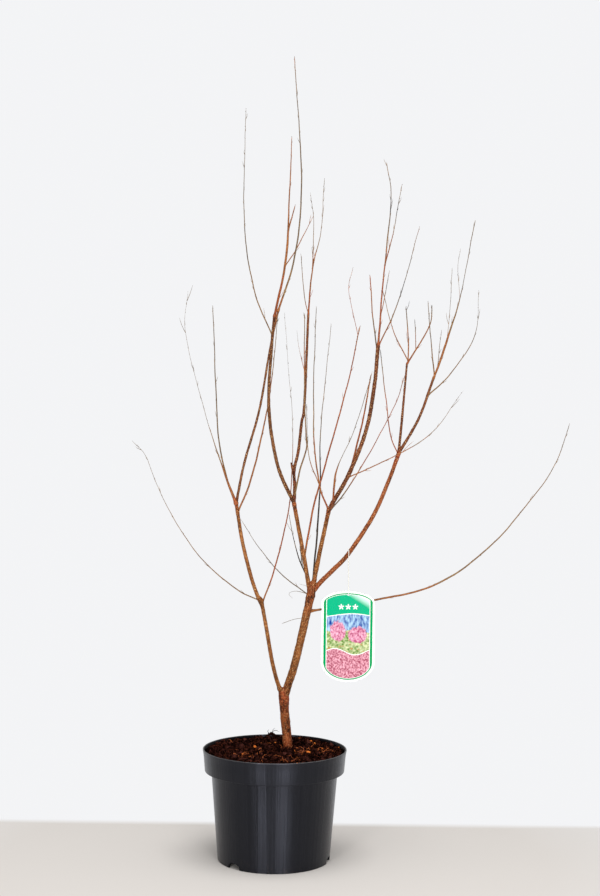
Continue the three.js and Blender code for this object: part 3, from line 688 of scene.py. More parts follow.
def barkTree():
    # brings the bark's space over to the joined wood, and raises its ridges, specks and slow swells
    tree, given, out = geometryTree("bark relief", {
        "Skin": "Object", "Ridge Height": 0.0, "Speck Height": 0.0, "Swell Height": 0.0, "Full Radius": 0.004,
        "Material": "Material"})
    skin = add(tree, "GeometryNodeObjectInfo", {"Object": given["Skin"]}).outputs["Geometry"]
    wood = given["Geometry"]
    for name in ("barkSpace", "warm", "tone", "girth"):
        kind = "FLOAT_VECTOR" if name == "barkSpace" else "FLOAT"
        sample = add(tree, "GeometryNodeSampleNearestSurface",
                     {"Mesh": skin, "Value": named(tree, name, kind)}, data_type=kind)
        wood = stored(tree, wood, name, sample.outputs["Value"], kind)
    space = named(tree, "barkSpace", "FLOAT_VECTOR")
    rough = maths(tree, "MULTIPLY_ADD", named(tree, "warm"), 1.1, 1.0)
    ridge = maths(tree, "MULTIPLY", noiseAt(tree, space, 1.3 * mm, 2.4, 3.0, 1.0), given["Ridge Height"])
    swell = maths(tree, "MULTIPLY", noiseAt(tree, space, 8 * mm, 1.6, 1.0, 2.0), given["Swell Height"])
    speck = maths(tree, "MULTIPLY", specksAt(tree, space, 2.2 * mm), given["Speck Height"])
    relief = maths(tree, "ADD", maths(tree, "MULTIPLY", maths(tree, "ADD", ridge, swell), rough), speck)
    wood = stored(tree, wood, "relief", maths(tree, "DIVIDE", relief, 0.4 * mm))
    # lower on thin wood
    girth = maths(tree, "DIVIDE", named(tree, "girth"), given["Full Radius"])
    share = put(tree, "ShaderNodeClamp", {"Value": girth, "Min": 0.35, "Max": 1.2})
    lift = times(tree, put(tree, "GeometryNodeInputNormal"), maths(tree, "MULTIPLY", relief, share))
    return closeTree(tree, out, moved(tree, wood, lift), given["Material"])


def twigTree():
    # skins the twigs, sets buds round them in a spiral and deals out the finishes by tone
    tree, given, out = geometryTree("twig dress", {
        "Sides": 7, "Keep Skin": True, "Bud": "Object", "Bud Spacing": 0.005, "Bud Size": 0.0017,
        "Bud Share": 0.85, "Seed": 0, "Bud Material": "Material", **dict.fromkeys(toneNames, "Material")})
    curve, tube = tubeRound(tree, given)
    radius = named(tree, "girth")
    for k, name in enumerate(toneNames):
        inTone = put(tree, "FunctionNodeCompare", {"A": named(tree, "tone"), "B": k - 0.5},
                     data_type="FLOAT", operation="GREATER_THAN")
        tube = put(tree, "GeometryNodeSetMaterial",
                   {"Geometry": tube, "Selection": inTone, "Material": given[name]})
    kept = put(tree, "GeometryNodeSwitch", {"Switch": given["Keep Skin"], "True": tube},
               input_type="GEOMETRY")

    def randomFloat(low, high, offset):
        seed = put(tree, "FunctionNodeIntegerMath", {0: given["Seed"], 1: offset}, operation="ADD")
        return randomValue(tree, low, high, seed)

    def turnedAbout(rotation, axis, angle):
        about = put(tree, "FunctionNodeAxisAngleToRotation", {"Axis": axis, "Angle": angle})
        return put(tree, "FunctionNodeRotateRotation", {"Rotation": rotation, "Rotate By": about},
                   rotation_space="LOCAL")

    points = put(tree, "GeometryNodeCurveToPoints", {"Curve": curve, "Length": given["Bud Spacing"]},
                 mode="LENGTH")
    base = put(tree, "FunctionNodeAxesToRotation",
               {"Primary Axis": named(tree, "heading", "FLOAT_VECTOR"), "Secondary Axis": (0.2, 1.0, 0.1)},
               primary_axis="Z", secondary_axis="X")
    index = put(tree, "GeometryNodeInputIndex")
    spiral = maths(tree, "MULTIPLY_ADD", index, math.radians(spurRule["turn"]), randomFloat(-0.5, 0.5, 1))
    about = turnedAbout(base, (0.0, 0.0, 1.0), spiral)
    leaned = turnedAbout(about, (0.0, 1.0, 0.0), randomFloat(0.25, 0.6, 2))
    outwards = put(tree, "ShaderNodeCombineXYZ", {"X": maths(tree, "MULTIPLY", radius, 0.7)})
    offset = put(tree, "FunctionNodeRotateVector", {"Vector": outwards, "Rotation": about})
    placed = moved(tree, points, offset)
    # bigger on stouter wood and towards the tip
    girth = maths(tree, "MULTIPLY_ADD", radius, 0.45 / mm, 0.55)
    girth = maths(tree, "MULTIPLY", girth, named(tree, "bead"))
    size = maths(tree, "MULTIPLY", girth, randomFloat(0.7, 1.3, 3))
    size = maths(tree, "MULTIPLY", size, given["Bud Size"])
    budded = maths(tree, "LESS_THAN", randomFloat(0.0, 1.0, 4), given["Bud Share"])
    bud = add(tree, "GeometryNodeObjectInfo", {"Object": given["Bud"]}).outputs["Geometry"]
    buds = scattered(tree, placed, bud, leaned, size, Selection=budded)
    budsDone = put(tree, "GeometryNodeSetMaterial", {"Geometry": buds, "Material": given["Bud Material"]})
    joined = add(tree, "GeometryNodeJoinGeometry")
    tree.links.new(budsDone, joined.inputs[0])
    tree.links.new(kept, joined.inputs[0])
    return closeTree(tree, out, joined.outputs[0])


# Finishes of the plant

barkColours = {
    "dusk": ((54, 31, 17), (100, 66, 36), (146, 101, 62)),
    "russet": ((52, 23, 13), (102, 51, 30), (144, 82, 52)),
    "golden": ((64, 35, 15), (128, 80, 39), (180, 122, 70)),
    "red": ((66, 24, 13), (137, 59, 33), (186, 92, 54)),
    "speck": (220, 176, 120),
    # painted shade for the bark's low grooves
    "grooveShade": (36, 15, 8),
}
barkLook = {"goldenSpecks": 1.0, "redSpecks": 0.9, "warmShare": 0.42, "grooveShadeShare": 0.85,
            "roughness": (0.62, 0.42), "bump": 0.6, "depth": 0.25, "gloss": 0.1}
twigLook = {"specks": 0.25, "roughness": 0.55, "spread": 0.1, "bump": 0.3, "depth": 0.15, "gloss": 0.3}


def barkGrainGroup():
    # streaks along the limb and pale specks, from the bark's straightened space or from the object's own
    colours = dict.fromkeys(("Dark", "Middle", "Light", "Speck"), "Color")
    tree, given, out = newTree("bark grain", "ShaderNodeTree",
                               {"Vector": "Vector", **colours, "Speck Share": 0.5},
                               {"Color": "Color", "Height": "Float"})
    streak = noiseAt(tree, given["Vector"], 1.1 * mm, 2.2, 4.0, 1.0)
    patch = noiseAt(tree, given["Vector"], 9 * mm, 2.0, 2.0, 3.0)
    mixed = maths(tree, "MULTIPLY_ADD", patch, 0.5, streak)
    low = mixColour(tree, remap(tree, mixed, -0.9, 0.0), given["Dark"], given["Middle"])
    high = mixColour(tree, remap(tree, mixed, 0.1, 1.1), low, given["Light"])
    speck = specksAt(tree, given["Vector"], 2.1 * mm)
    colour = mixColour(tree, maths(tree, "MULTIPLY", speck, given["Speck Share"]), high, given["Speck"])
    tree.links.new(colour, out.inputs["Color"])
    tree.links.new(maths(tree, "MULTIPLY_ADD", speck, 0.6, streak), out.inputs["Height"])
    return tree


barkGrain = barkGrainGroup()


def grainNode(tree, vector, colours, share):
    values = {"Vector": vector, "Speck": srgb(*barkColours["speck"]), "Speck Share": share}
    for name, colour in zip(("Dark", "Middle", "Light"), colours):
        values[name] = srgb(*colour)
    return add(tree, "ShaderNodeGroup", values, node_tree=barkGrain).outputs


def attribute(tree, name, output="Fac"):
    return add(tree, "ShaderNodeAttribute", attribute_name=name).outputs[output]


def woodFinish(name, goldenTone, redTone):
    # golden bark that turns red by its tone, most of all where it is warm, darkened by painted shade in its
    # low grooves
    look = barkLook
    material, tree, shader = newMaterial(name)
    space = attribute(tree, "barkSpace", "Vector")
    golden = grainNode(tree, space, barkColours[goldenTone], look["goldenSpecks"])
    red = grainNode(tree, space, barkColours[redTone], look["redSpecks"])
    warm = maths(tree, "MULTIPLY", attribute(tree, "warm"), look["warmShare"])
    share = remap(tree, maths(tree, "ADD", attribute(tree, "tone"), warm), 0.0, 1.0)
    colour = mixColour(tree, share, golden["Color"], red["Color"])
    # painted shade: the bark darkens where its relief sinks into grooves
    grooveShade = remap(tree, attribute(tree, "relief"), -0.1, -0.8, 0.0, look["grooveShadeShare"])
    colour = mixColour(tree, grooveShade, colour, srgb(*barkColours["grooveShade"]))
    rough = remap(tree, golden["Height"], -1.0, 1.0, *look["roughness"])
    dressShader(tree, shader, colour, rough, golden["Height"], look["bump"], look["depth"] * mm,
                look["gloss"])
    return material


def twigFinish(name, *colours, specks=twigLook["specks"], roughness=twigLook["roughness"]):
    look = twigLook
    material, tree, shader = newMaterial("twig_" + name)
    grain = grainNode(tree, objectSpace(tree), colours, specks)
    rough = remap(tree, grain["Height"], -1.0, 1.0, roughness + look["spread"], roughness - look["spread"])
    dressShader(tree, shader, grain["Color"], rough, grain["Height"], look["bump"], look["depth"] * mm,
                look["gloss"])
    return material


bark = {"stems": woodFinish("stem_bark", "golden", "red"),
        "leaders": woodFinish("leader_bark", "dusk", "russet")}
twigFinishes = {
    "red": twigFinish("red", (94, 38, 12), (142, 69, 27), (176, 101, 48)),
    "golden": twigFinish("golden", (92, 50, 18), (138, 80, 34), (170, 113, 60)),
    "olive": twigFinish("olive", (82, 56, 30), (121, 88, 50), (152, 122, 80)),
    "grey": twigFinish("grey", (66, 52, 36), (103, 82, 56), (136, 116, 88)),
    "dark": twigFinish("dark", (24, 17, 12), (44, 32, 22), (74, 54, 37)),
}
budFinish = twigFinish("bud", (46, 24, 14), (80, 46, 28), (112, 72, 46), specks=0.1, roughness=0.6)


# Wood: trunk, boughs and leaders, each set joined into one skin, with collars and swollen forks

woodShape = {
    "stems": {"sides": 40, "step": 1.2, "voxel": 0.56, "ridge": 0.25, "speck": 0.24, "swell": 0.26,
              "fullRadius": 4.0},
    "leaders": {"sides": 24, "step": 1.2, "voxel": 0.48, "ridge": 0.2, "speck": 0.2, "swell": 0.22,
                "fullRadius": 2.2},
}
usualRed = 0.12      # how much of a limb's bark is red, where its row doesn't say

# Where the bark is warm and rough: forks of thick enough children, pruned ends and the trunk's foot
warmRule = {"leastChild": 1.4, "reach": 3.2, "moreReach": 3, "foot": 0.95, "footRun": 38}


def lengthened(path, more):
    length = path["length"] + more
    tip = path["line"][-1] + tangentAt(path, path["length"]) * more
    return {"line": np.vstack([path["line"], tip]), "along": np.append(path["along"], length),
            "length": length}


def sunk(path, more):
    # the same path with a little more of it below its start
    start = path["line"][0] - tangentAt(path, 0.0) * more
    return {"line": np.vstack([start, path["line"]]), "along": np.append(0, path["along"] + more),
            "length": path["length"] + more}


def limbRadius(item):
    row, path, rule = item["row"], item["path"], collarRule
    length = path["length"]
    first, last = [thick / 2 * row.get("stout", 1) for thick in row["thick"]]
    parentRadius = grown[row["on"]]["row"]["thick"][1] / 2 if "on" in row else 0
    carriesOn = "on" in row and grown[row["on"]]["path"]["length"] - item["at"] < rule["carriedGap"]
    swells = [(distanceAtHeight(path, height), more, reach) for height, more, reach in row.get("swells", [])]

    def radii(distance):
        radius = first + (last - first) * np.minimum(distance / length, 1)
        for at, more, reach in swells:
            radius = radius + more * np.exp(-((distance - at) / reach) ** 2)
        if "on" in row:
            past = np.maximum(distance - parentRadius, 0)
            collar = rule["carried"] if carriesOn else rule["foot"]
            radius = radius + collar * first * np.exp(-(past / (rule["footRun"] * first)) ** 2)
            # it starts at half its radius inside its parent
            rise = np.clip(distance / max(parentRadius, 1), 0, 1)
            radius = radius * (0.5 + 0.5 * rise * (2 - rise))
        for at, childRadius in item["forks"]:
            away = (distance - at) / (rule["forkRun"] * first + childRadius)
            radius = radius + (rule["fork"] * childRadius + rule["knot"]) * np.exp(-away ** 2)
        # a round end
        over = np.clip((distance - length) / (last * rule["endRun"]), 0, 0.97)
        return radius * np.sqrt(1 - over ** 2)
    return radii


def nearForks(item):
    # 1 at a fork, a pruned end or the trunk's foot, falling to 0 away from it
    row, rule = item["row"], warmRule
    reach = rule["reach"] * row["thick"][0] / 2 + rule["moreReach"]
    spots = [at for at, childRadius in item["forks"] if childRadius > rule["leastChild"]]
    if "on" in row:
        spots.append(0)
    if row["name"] == "pruned_stub":
        spots.append(item["path"]["length"])

    def warm(distance):
        value = np.zeros_like(distance)
        for at in spots:
            value = np.maximum(value, np.exp(-((distance - at) / reach) ** 2))
        if "foot" in row:
            value = np.maximum(value, rule["foot"] * np.exp(-distance / rule["footRun"]))
        return value
    return warm


def makeWood(name):
    shape = woodShape[name]
    items = [item for item in grown.values() if item["row"]["piece"] == name]
    strands = []
    for k, item in enumerate(items):
        row, path = item["row"], item["path"]
        if row["name"] != "pruned_stub":
            path = lengthened(path, row["thick"][1] / 2 * collarRule["endRun"])
        depth = row.get("sunk", 0)
        if depth:
            path = sunk(path, depth)
        radii, warm, red = limbRadius(item), nearForks(item), row.get("red", usualRed)
        strands.append(strand(
            path, lambda d: radii(np.maximum(d - depth, 0)), shape["step"], lambda d: red,
            11 + 7 * k + len(name), warm=lambda d: warm(np.maximum(d - depth, 0))))
    skin = addObject(name + "_skin", strandMesh(name + "_skin", strands))
    useTree(skin, limbSkin, {"Sides": shape["sides"]})
    bake(skin)
    wood = addObject("wood_" + name, skin.data.copy())
    remesh = wood.modifiers.new("joined", "REMESH")
    remesh.mode = "VOXEL"
    remesh.voxel_size = shape["voxel"] * mm
    useTree(wood, barkRelief, {
        "Skin": skin, "Ridge Height": shape["ridge"] * mm, "Speck Height": shape["speck"] * mm,
        "Swell Height": shape["swell"] * mm, "Full Radius": shape["fullRadius"] * mm,
        "Material": bark[name]})
    bake(wood)
    bpy.data.objects.remove(skin)
    report(wood)
    return wood


limbSkin = skinTree()
barkRelief = barkTree()
for pieceName in woodShape:
    piece = makeWood(pieceName)
    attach(piece, "plant")
    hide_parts(*[row["name"] for row in limbRows if row["piece"] == pieceName])
print("wood made")


# Twigs: stems, shoots, spurs and the finer twiglets between them, with a spiral of buds

twigShape = {"sides": 7, "step": 2.2, "budSpacing": 3.7, "budSize": 1.25, "budShare": 0.78, "collar": 0.45,
             "collarRun": 2.4, "wobble": 0.1, "toneRun": 16, "toneDrift": 0.4, "toneSpeck": 0.22,
             "stoutness": 1.03, "tipRun": 3, "bead": 0.72, "tipBead": 0.6, "beadRun": 34}
sideShape = {"step": 1.3, "collar": 0.4, "bead": 0.62}
hairShape = {"step": 1.2, "wobble": 0.2, "bead": 0.4}
budShape = {"sides": 5, "outline": [(0.0, 0.2), (0.18, 0.3), (0.48, 0.27), (0.78, 0.13)]}

# The limbs that carry a few buds of their own
buddedWood = ("left_stem", "right_bough", "left_leader", "centre_left_leader", "centre_leader",
              "centre_right_leader", "right_leader", "right_middle_bough")
woodBuds = {"step": 2.5, "spacing": 8.5, "size": 1.1, "share": 0.75, "seed": 77}


def taper(girths, length, collar=0.0, hidden=0.0, run=twigShape["collarRun"]):
    # hidden is the stretch inside the parent: the collar starts past it and falls off over run
    def radii(distance):
        girth = np.interp(distance, np.linspace(0, length, len(girths)), girths)
        out = np.maximum(distance - hidden, 0)
        radius = girth / 2 * twigShape["stoutness"] + girths[0] / 2 * collar * np.exp(-(out / run) ** 2)
        near = np.clip((length - distance) / twigShape["tipRun"], 0.2, 1)
        return np.maximum(radius * near ** 0.5, girths[-1] / 4)
    return radii


def tipBeads(length):
    # buds stand out most near a twig's tip
    shape = twigShape
    return lambda distance: shape["bead"] + shape["tipBead"] * np.exp((distance - length) / shape["beadRun"])


def toneAlong(tones, length, seed):
    # the listed finishes run into each other, with a slow drift and small specks
    random = np.random.default_rng(seed)
    run = twigShape["toneRun"]
    drift = random.uniform(-1, 1, int(length / run) + 2) * twigShape["toneDrift"]

    def tone(distance):
        value = np.interp(distance, np.linspace(0, length, len(tones)), tones)
        value = value + np.interp(distance, np.arange(len(drift)) * run, drift)
        speck = random.uniform(-1, 1, len(distance)) * twigShape["toneSpeck"]
        return np.clip(value + speck, 0, len(toneNames) - 1)
    return tone


def sideStrand(side, girths, tone, seed):
    path = smoothPath([side["start"], side["bend"], side["tip"]])
    return strand(path, taper(girths, path["length"], sideShape["collar"]), sideShape["step"], lambda d: tone,
                  seed, bead=lambda d: sideShape["bead"])


def massStrands(item, seed):
    # the row's own twig sets out from inside its parent and in its first tone, and its shoots don't
    row = item["row"]
    strands = []
    random = seededRandom(twigletRule["seed"] + seed)
    others = [run for other in grown.values() if other is not item for run in other["runs"]]
    collar, collarRun = row.get("collar", (twigShape["collar"], twigShape["collarRun"]))
    listed = [toneNames.index(name) for name in row["tones"].split()]
    for k, twig in enumerate(item["twigs"]):
        path = twig["path"]
        length = path["length"]
        hidden = grown[row["on"]]["row"]["thick"][1] / 2 if k == 0 else 0
        tones = listed if k == 0 else listed[1:] or listed
        strands.append(strand(
            path, taper(twig["girths"], length, collar, hidden, collarRun), twigShape["step"],
            toneAlong(tones, length, seed * 29 + k), seed * 31 + k, twigShape["wobble"],
            bead=tipBeads(length)))
        spurs = [side for side in item["spurs"] if side["twig"] is twig]
        start = twig["bare"] + random(0, twigletRule["startSlack"])
        finer = [side for side in sideGrowth(path, start, random, twigletRule) if isClear(side, others)]
        for rule, sides in ((spurRule, spurs), (twigletRule, finer)):
            for n, side in enumerate(sides):
                tone = float(np.interp(side["at"] / length, np.linspace(0, 1, len(tones)), tones))
                strands.append(sideStrand(side, rule["girths"], tone, seed * 53 + n))
    return strands


def hairStrands():
    found = []
    for k, row in enumerate(hairRows):
        path = rowPath(row, grown[row["on"]]["path"])
        found.append(strand(path, taper(row["girths"], path["length"]), hairShape["step"],
                            lambda d: toneNames.index("grey"), 700 + k, hairShape["wobble"],
                            bead=lambda d: hairShape["bead"]))
    return found


def budMesh():
    # a pointed scale bud of unit length that stands on its foot
    sides = budShape["sides"]
    shape = bmesh.new()
    rings = [[shape.verts.new((x, y, z)) for x, y in arcPoints(r, r, fullTurn(sides))]
             for z, r in budShape["outline"]]
    for low, high in zip(rings, rings[1:]):
        for i in range(sides):
            shape.faces.new((low[i], low[i - 1], high[i - 1], high[i]))
    tip = shape.verts.new((0, 0, 1))
    for i in range(sides):
        shape.faces.new((rings[-1][i], rings[-1][i - 1], tip))
    shape.faces.new(rings[0])
    bmesh.ops.recalc_face_normals(shape, faces=shape.faces)
    return plainMesh("bud", shape)


twigDress = twigTree()
bud = addObject("bud_pattern", budMesh())
for seed, pieceName in enumerate(["left_twigs", "centre_twigs", "front_twigs", "right_twigs"]):
    items = [item for item in grown.values() if item["row"]["piece"] == pieceName]
    strands = [s for k, item in enumerate(items) for s in massStrands(item, 1 + k + 10 * seed)]
    if pieceName == "centre_twigs":
        strands += hairStrands()
    piece = addObject(pieceName, strandMesh(pieceName, strands))
    useTree(piece, twigDress, {
        "Sides": twigShape["sides"], "Bud": bud, "Bud Spacing": twigShape["budSpacing"] * mm,
        "Bud Size": twigShape["budSize"] * mm, "Bud Share": twigShape["budShare"], "Seed": seed,
        "Bud Material": budFinish, **twigFinishes})
    bake(piece)
    report(piece)
    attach(piece, "plant")
    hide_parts(*[item["row"]["name"] for item in items])

strands = [strand(grown[name]["path"], limbRadius(grown[name]), woodBuds["step"], lambda d: 0.0, 900 + k)
           for k, name in enumerate(buddedWood)]
budsOnWood = addObject("wood_buds", strandMesh("wood_buds", strands))
useTree(budsOnWood, twigDress, {
    "Keep Skin": False, "Bud": bud, "Bud Spacing": woodBuds["spacing"] * mm,
    "Bud Size": woodBuds["size"] * mm, "Bud Share": woodBuds["share"], "Seed": woodBuds["seed"],
    "Bud Material": budFinish})
bake(budsOnWood)
report(budsOnWood)
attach(budsOnWood, "plant")
bpy.data.objects.remove(bud)
print("twigs made")


# Pot: a thin moulded wall turned about the axis, with drain notches through its foot

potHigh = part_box("pot")[1]
potShape = {"height": potHigh.z / mm, "lipRadius": potHigh.x / mm, "wall": 1.5, "lipHeight": 4,
            "collarTop": 91.4, "collarFoot": 89.4, "collarHeight": 28, "bodyTop": 81, "base": 71.9,
            "seat": 40, "channel": 4, "footWidth": 3, "slope": 3, "segments": 192, "sharp": 40}
drainShape = {"count": 3, "firstAngle": 227, "width": 19, "height": 7.5, "depth": 17, "shoulder": 0.4}
# the pale rim colour and its share paint a highlight along the rim's top edge
potLook = {"plastic": ((8, 9, 11), (15, 16, 19)), "dust": (94, 78, 64), "dustShare": 0.35, "dustTop": 16,
           "rimHighlight": (108, 106, 106), "rimHighlightShare": 0.5, "roughness": 0.33, "collarRoughness": 0.03,
           "rubRoughness": 0.05, "lineRoughness": 0.09, "lineWidth": 1.4, "lineStretch": 500.0,
           "lineDepth": 0.07, "gloss": 0.42, "tint": (228, 232, 255), "drawnOut": 0.98,
           "collarDrawnOut": -0.08}


def bodyRadius(z):
    share = z / (potShape["height"] - potShape["collarHeight"])
    return potShape["base"] + (potShape["bodyTop"] - potShape["base"]) * share


def collarRadius(z):
    foot = potShape["height"] - potShape["collarHeight"]
    share = (z - foot) / (potShape["collarHeight"] - potShape["lipHeight"])
    return potShape["collarFoot"] + (potShape["collarTop"] - potShape["collarFoot"]) * share


def roundedOutline(corners, steps=4):
    # corners are (radius from the axis, height, rounding); each rounded corner becomes a short curve
    outline = []
    padded = [corners[0], *corners, corners[-1]]
    for before, (r, z, rounding), after in zip(padded, corners, padded[2:]):
        here = np.array((r, z), float)
        if not rounding:
            outline.append(here)
            continue
        back = np.array(before[:2], float) - here
        ahead = np.array(after[:2], float) - here
        enter = here + back * min(rounding / np.linalg.norm(back), 0.45)
        leave = here + ahead * min(rounding / np.linalg.norm(ahead), 0.45)
        for t in np.linspace(0, 1, steps + 1):
            outline.append((1 - t) ** 2 * enter + 2 * t * (1 - t) * here + t ** 2 * leave)
    return outline


def turned(name, outline, segments):
    # a closed body turned from an outline that starts and ends on the axis
    shape = bmesh.new()
    rings = []
    for r, z in outline:
        around = [(0, 0)] if r < 1e-6 else arcPoints(r * mm, r * mm, fullTurn(segments))
        rings.append([shape.verts.new((x, y, z * mm)) for x, y in around])
    for low, high in zip(rings, rings[1:]):
        for i in range(segments):
            corners = [low[i % len(low)], low[(i + 1) % len(low)],
                       high[(i + 1) % len(high)], high[i % len(high)]]
            shape.faces.new(list(dict.fromkeys(corners)))
    bmesh.ops.recalc_face_normals(shape, faces=shape.faces)
    return plainMesh(name, shape)


def potOutline():
    p = potShape
    wall, top, base = p["wall"], p["height"], p["base"]
    step = top - p["collarHeight"]
    lipFoot = top - p["lipHeight"]
    footInner = base - p["footWidth"]
    floorTop = p["channel"] + wall
    seatEnd = p["seat"] + p["slope"]
    return roundedOutline([
        (0, 0, 0), (p["seat"], 0, 0.8), (seatEnd, p["channel"], 1), (footInner - 1, p["channel"], 1),
        (footInner, 0, 0.8), (base, 0, 1.0), (bodyRadius(40), 40, 0), (bodyRadius(80), 80, 0),
        (bodyRadius(step), step, 0.7), (collarRadius(step), step, 0.9),
        (collarRadius(lipFoot - 4), lipFoot - 4, 5), (p["lipRadius"], top - 0.8, 0.7),
        (p["lipRadius"] - 0.3, top, 0.5), (p["lipRadius"] - 1.7, top, 0.6),
        (collarRadius(lipFoot) - wall, lipFoot - 0.6, 2.5),
        (collarRadius(step + wall) - wall, step + wall, 1), (bodyRadius(step) - wall, step + wall, 1),
        (bodyRadius(floorTop) - wall, floorTop, 1.5), (seatEnd - 1, floorTop, 1), (p["seat"] - 1, wall, 1),
        (0, wall, 0),
    ])


def drainCutters():
    d = drainShape
    half = d["width"] / 2
    shoulder = d["height"] * d["shoulder"]
    arch = [(-half, -1), (half, -1), *arcPoints(half, d["height"] - shoulder, halfTurn(12), shoulder)]
    outer = potShape["base"] + 1
    shape = bmesh.new()
    for k in range(d["count"]):
        turn = Matrix.Rotation(math.radians(d["firstAngle"] + 360 * k / d["count"]), 3, "Z")
        front, back = [[shape.verts.new(turn @ Vector((r, x, z)) * mm) for x, z in arch]
                       for r in (outer, outer - d["depth"])]
        for i in range(len(arch)):
            shape.faces.new((front[i - 1], front[i], back[i], back[i - 1]))
        shape.faces.new(front)
        shape.faces.new(back)
    bmesh.ops.recalc_face_normals(shape, faces=shape.faces)
    return plainMesh("drain_cutters", shape)


def scuffGroup():
    # small scratches and rubbed spots, for smooth plastic and card
    # Size is 1 for a space in metres, and greater by as much as the space is
    tree, given, out = newTree("scuffs", "ShaderNodeTree", {"Vector": "Vector", "Size": 1.0},
                               {"Mask": "Float", "Height": "Float"})
    space = times(tree, given["Vector"], maths(tree, "DIVIDE", 1.0, given["Size"]))
    fine = noiseAt(tree, space, 1.5 * mm, 3.0, 3.0, 5.0)
    broad = noiseAt(tree, space, 22 * mm, 1.0, 3.0, 6.0)
    tree.links.new(remap(tree, maths(tree, "MULTIPLY_ADD", broad, 0.8, fine), 0.3, 1.5), out.inputs["Mask"])
    tree.links.new(fine, out.inputs["Height"])
    return tree


scuffs = scuffGroup()


def rubbed(tree, space, size=1.0):
    return add(tree, "ShaderNodeGroup", {"Vector": space, "Size": size}, node_tree=scuffs).outputs


def potFinish():
    look = potLook
    material, tree, shader = newMaterial("pot_black_plastic")
    space = objectSpace(tree)
    parts = axes(tree, space)
    height = parts["Z"]
    mask = rubbed(tree, space)["Mask"]
    dusty = maths(tree, "MULTIPLY", remap(tree, height, look["dustTop"] * mm, 1 * mm), mask)
    colour = mixColour(tree, mask, *[srgb(*tone) for tone in look["plastic"]])
    colour = mixColour(tree, maths(tree, "MULTIPLY", dusty, look["dustShare"]), colour, srgb(*look["dust"]))
    # a painted highlight: the rim's top edge is painted paler, patchy along its length
    top = potShape["height"]
    rimHighlight = remap(tree, height, (top - 0.9) * mm, (top - 0.2) * mm, 0.0, look["rimHighlightShare"])
    uneven = remap(tree, noiseAt(tree, space, 6 * mm, 1.0, 2.0, 3.0), -1.0, 0.6, 0.35, 1.0)
    colour = mixColour(tree, maths(tree, "MULTIPLY", rimHighlight, uneven), colour, srgb(*look["rimHighlight"]))
    # fine lines run up the wall; they are counted round it, with the join at the back
    turn = maths(tree, "ARCTAN2", parts["X"], maths(tree, "MULTIPLY", parts["Y"], -1.0))
    around = maths(tree, "MULTIPLY", turn, 80 * mm)
    wall = put(tree, "ShaderNodeCombineXYZ", {"X": around, "Z": height})
    lines = noiseAt(tree, wall, look["lineWidth"] * mm, look["lineStretch"], 3.0, 8.0)
    collar = remap(tree, height, 112.5 * mm, 113.5 * mm)
    rough = maths(tree, "MULTIPLY_ADD", collar, look["collarRoughness"], look["roughness"])
    rough = maths(tree, "MULTIPLY_ADD", mask, look["rubRoughness"], rough)
    rough = maths(tree, "MULTIPLY_ADD", lines, look["lineRoughness"], rough)
    dressShader(tree, shader, colour, rough, lines, 1.0, look["lineDepth"] * mm, look["gloss"])
    # moulding draws the highlights out up and down the wall, less so on the collar
    drawnOut = maths(tree, "MULTIPLY_ADD", collar, look["collarDrawnOut"], look["drawnOut"])
    tree.links.new(drawnOut, shader.inputs["Anisotropic"])
    shader.inputs["Anisotropic Rotation"].default_value = 0.25
    shader.inputs["Specular Tint"].default_value = srgb(*look["tint"])
    return material


def makePot():
    pot = addObject("nursery_pot", turned("nursery_pot", potOutline(), potShape["segments"]))
    cutter = addObject("drain_cutters", drainCutters())
    cut = pot.modifiers.new("drains", "BOOLEAN")
    cut.object = cutter
    cut.operation = "DIFFERENCE"
    cut.solver = "EXACT"
    bake(pot)
    bpy.data.objects.remove(cutter)
    giveMaterials(pot, potFinish())
    pot.data.shade_smooth()
    pot.data.set_sharp_from_angle(angle=math.radians(potShape["sharp"]))
    report(pot)
    return pot


pot = makePot()
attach(pot, "plant")
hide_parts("pot")
print("pot made")


# Soil: a closed body of peat that fills the pot, then the crumbs, roots and chips on its surface

soilShape = {"edge": 137, "mound": 0.4, "frontRise": -1.2, "broad": 2.4, "middle": 2.4, "fine": 1.1,
             "segments": 216, "ringsAcross": 72, "hollow": 5.6, "hollowReach": 21, "clear": 0.5}

# Where dead roots and fibres lie thickest on the bed, with how far each patch reaches
rootyPlaces = [(-37, -32, 12), (39, 4, 9), (-17, 42, 9), (-19, -14, 8), (34, -8, 10), (58, -2, 12),
               (25, -56, 10), (-52, 6, 7), (14, -44, 7)]

# Single bits on the bed: place, height over it and radius
chipPlaces = [(31, 71, 2, 1.6), (47, 55, 2, 1.5), (43, -18, 2.5, 2.3), (-26, 14, 2, 1.8), (0, 48, 2, 1.2),
              (52, 40, 2, 1.2), (-40, -30, 2, 1.4), (61, 8, 2, 1.3)]
clodPlaces = [(-6, 83, 5, 3.4), (-10, 82, 3, 2.4), (-1, 82, 3, 2.2), (-3, 81, 4.5, 2), (-9, 83, 5, 1.6),
              (-30, 60, 2, 2.8), (-48, 22, 2, 3), (64, 26, 2, 2.6)]

# Roots that stand out on the bed one by one, as paths over it
rootRows = [
    [(30, -22), (40, -8), (52, -4), (62, 0), (72, -9)],
    [(43, 8), (47, 28), (50, 46), (46, 62)],
    [(22, -64), (30, -40), (34, -22), (33, 6)],
    [(-22, -30), (-20, -6), (-24, 20), (-20, 44)],
    [(-52, -26), (-40, -40), (-34, -20), (-42, -6)],
    [(60, -12), (68, 6), (64, 22)],
    [(-14, -70), (-18, -50), (-12, -36)],
]
rimRootRows = [
    [(-6, 83, 143), (-3, 84, 146.5), (1, 83, 147.5), (4, 84, 146)],
    [(-5, 83, 143), (-4, 85, 148), (-1, 84, 150)],
    [(-9, 82, 144), (-11, 83, 147), (-9, 83, 149)],
]
rootShape = {"lift": 1.8, "step": 1.0, "wobble": 1.3, "sides": 6, "girths": (1, 0.85, 0.65, 0.4),
             "rimGirths": (0.8, 0.6, 0.4)}


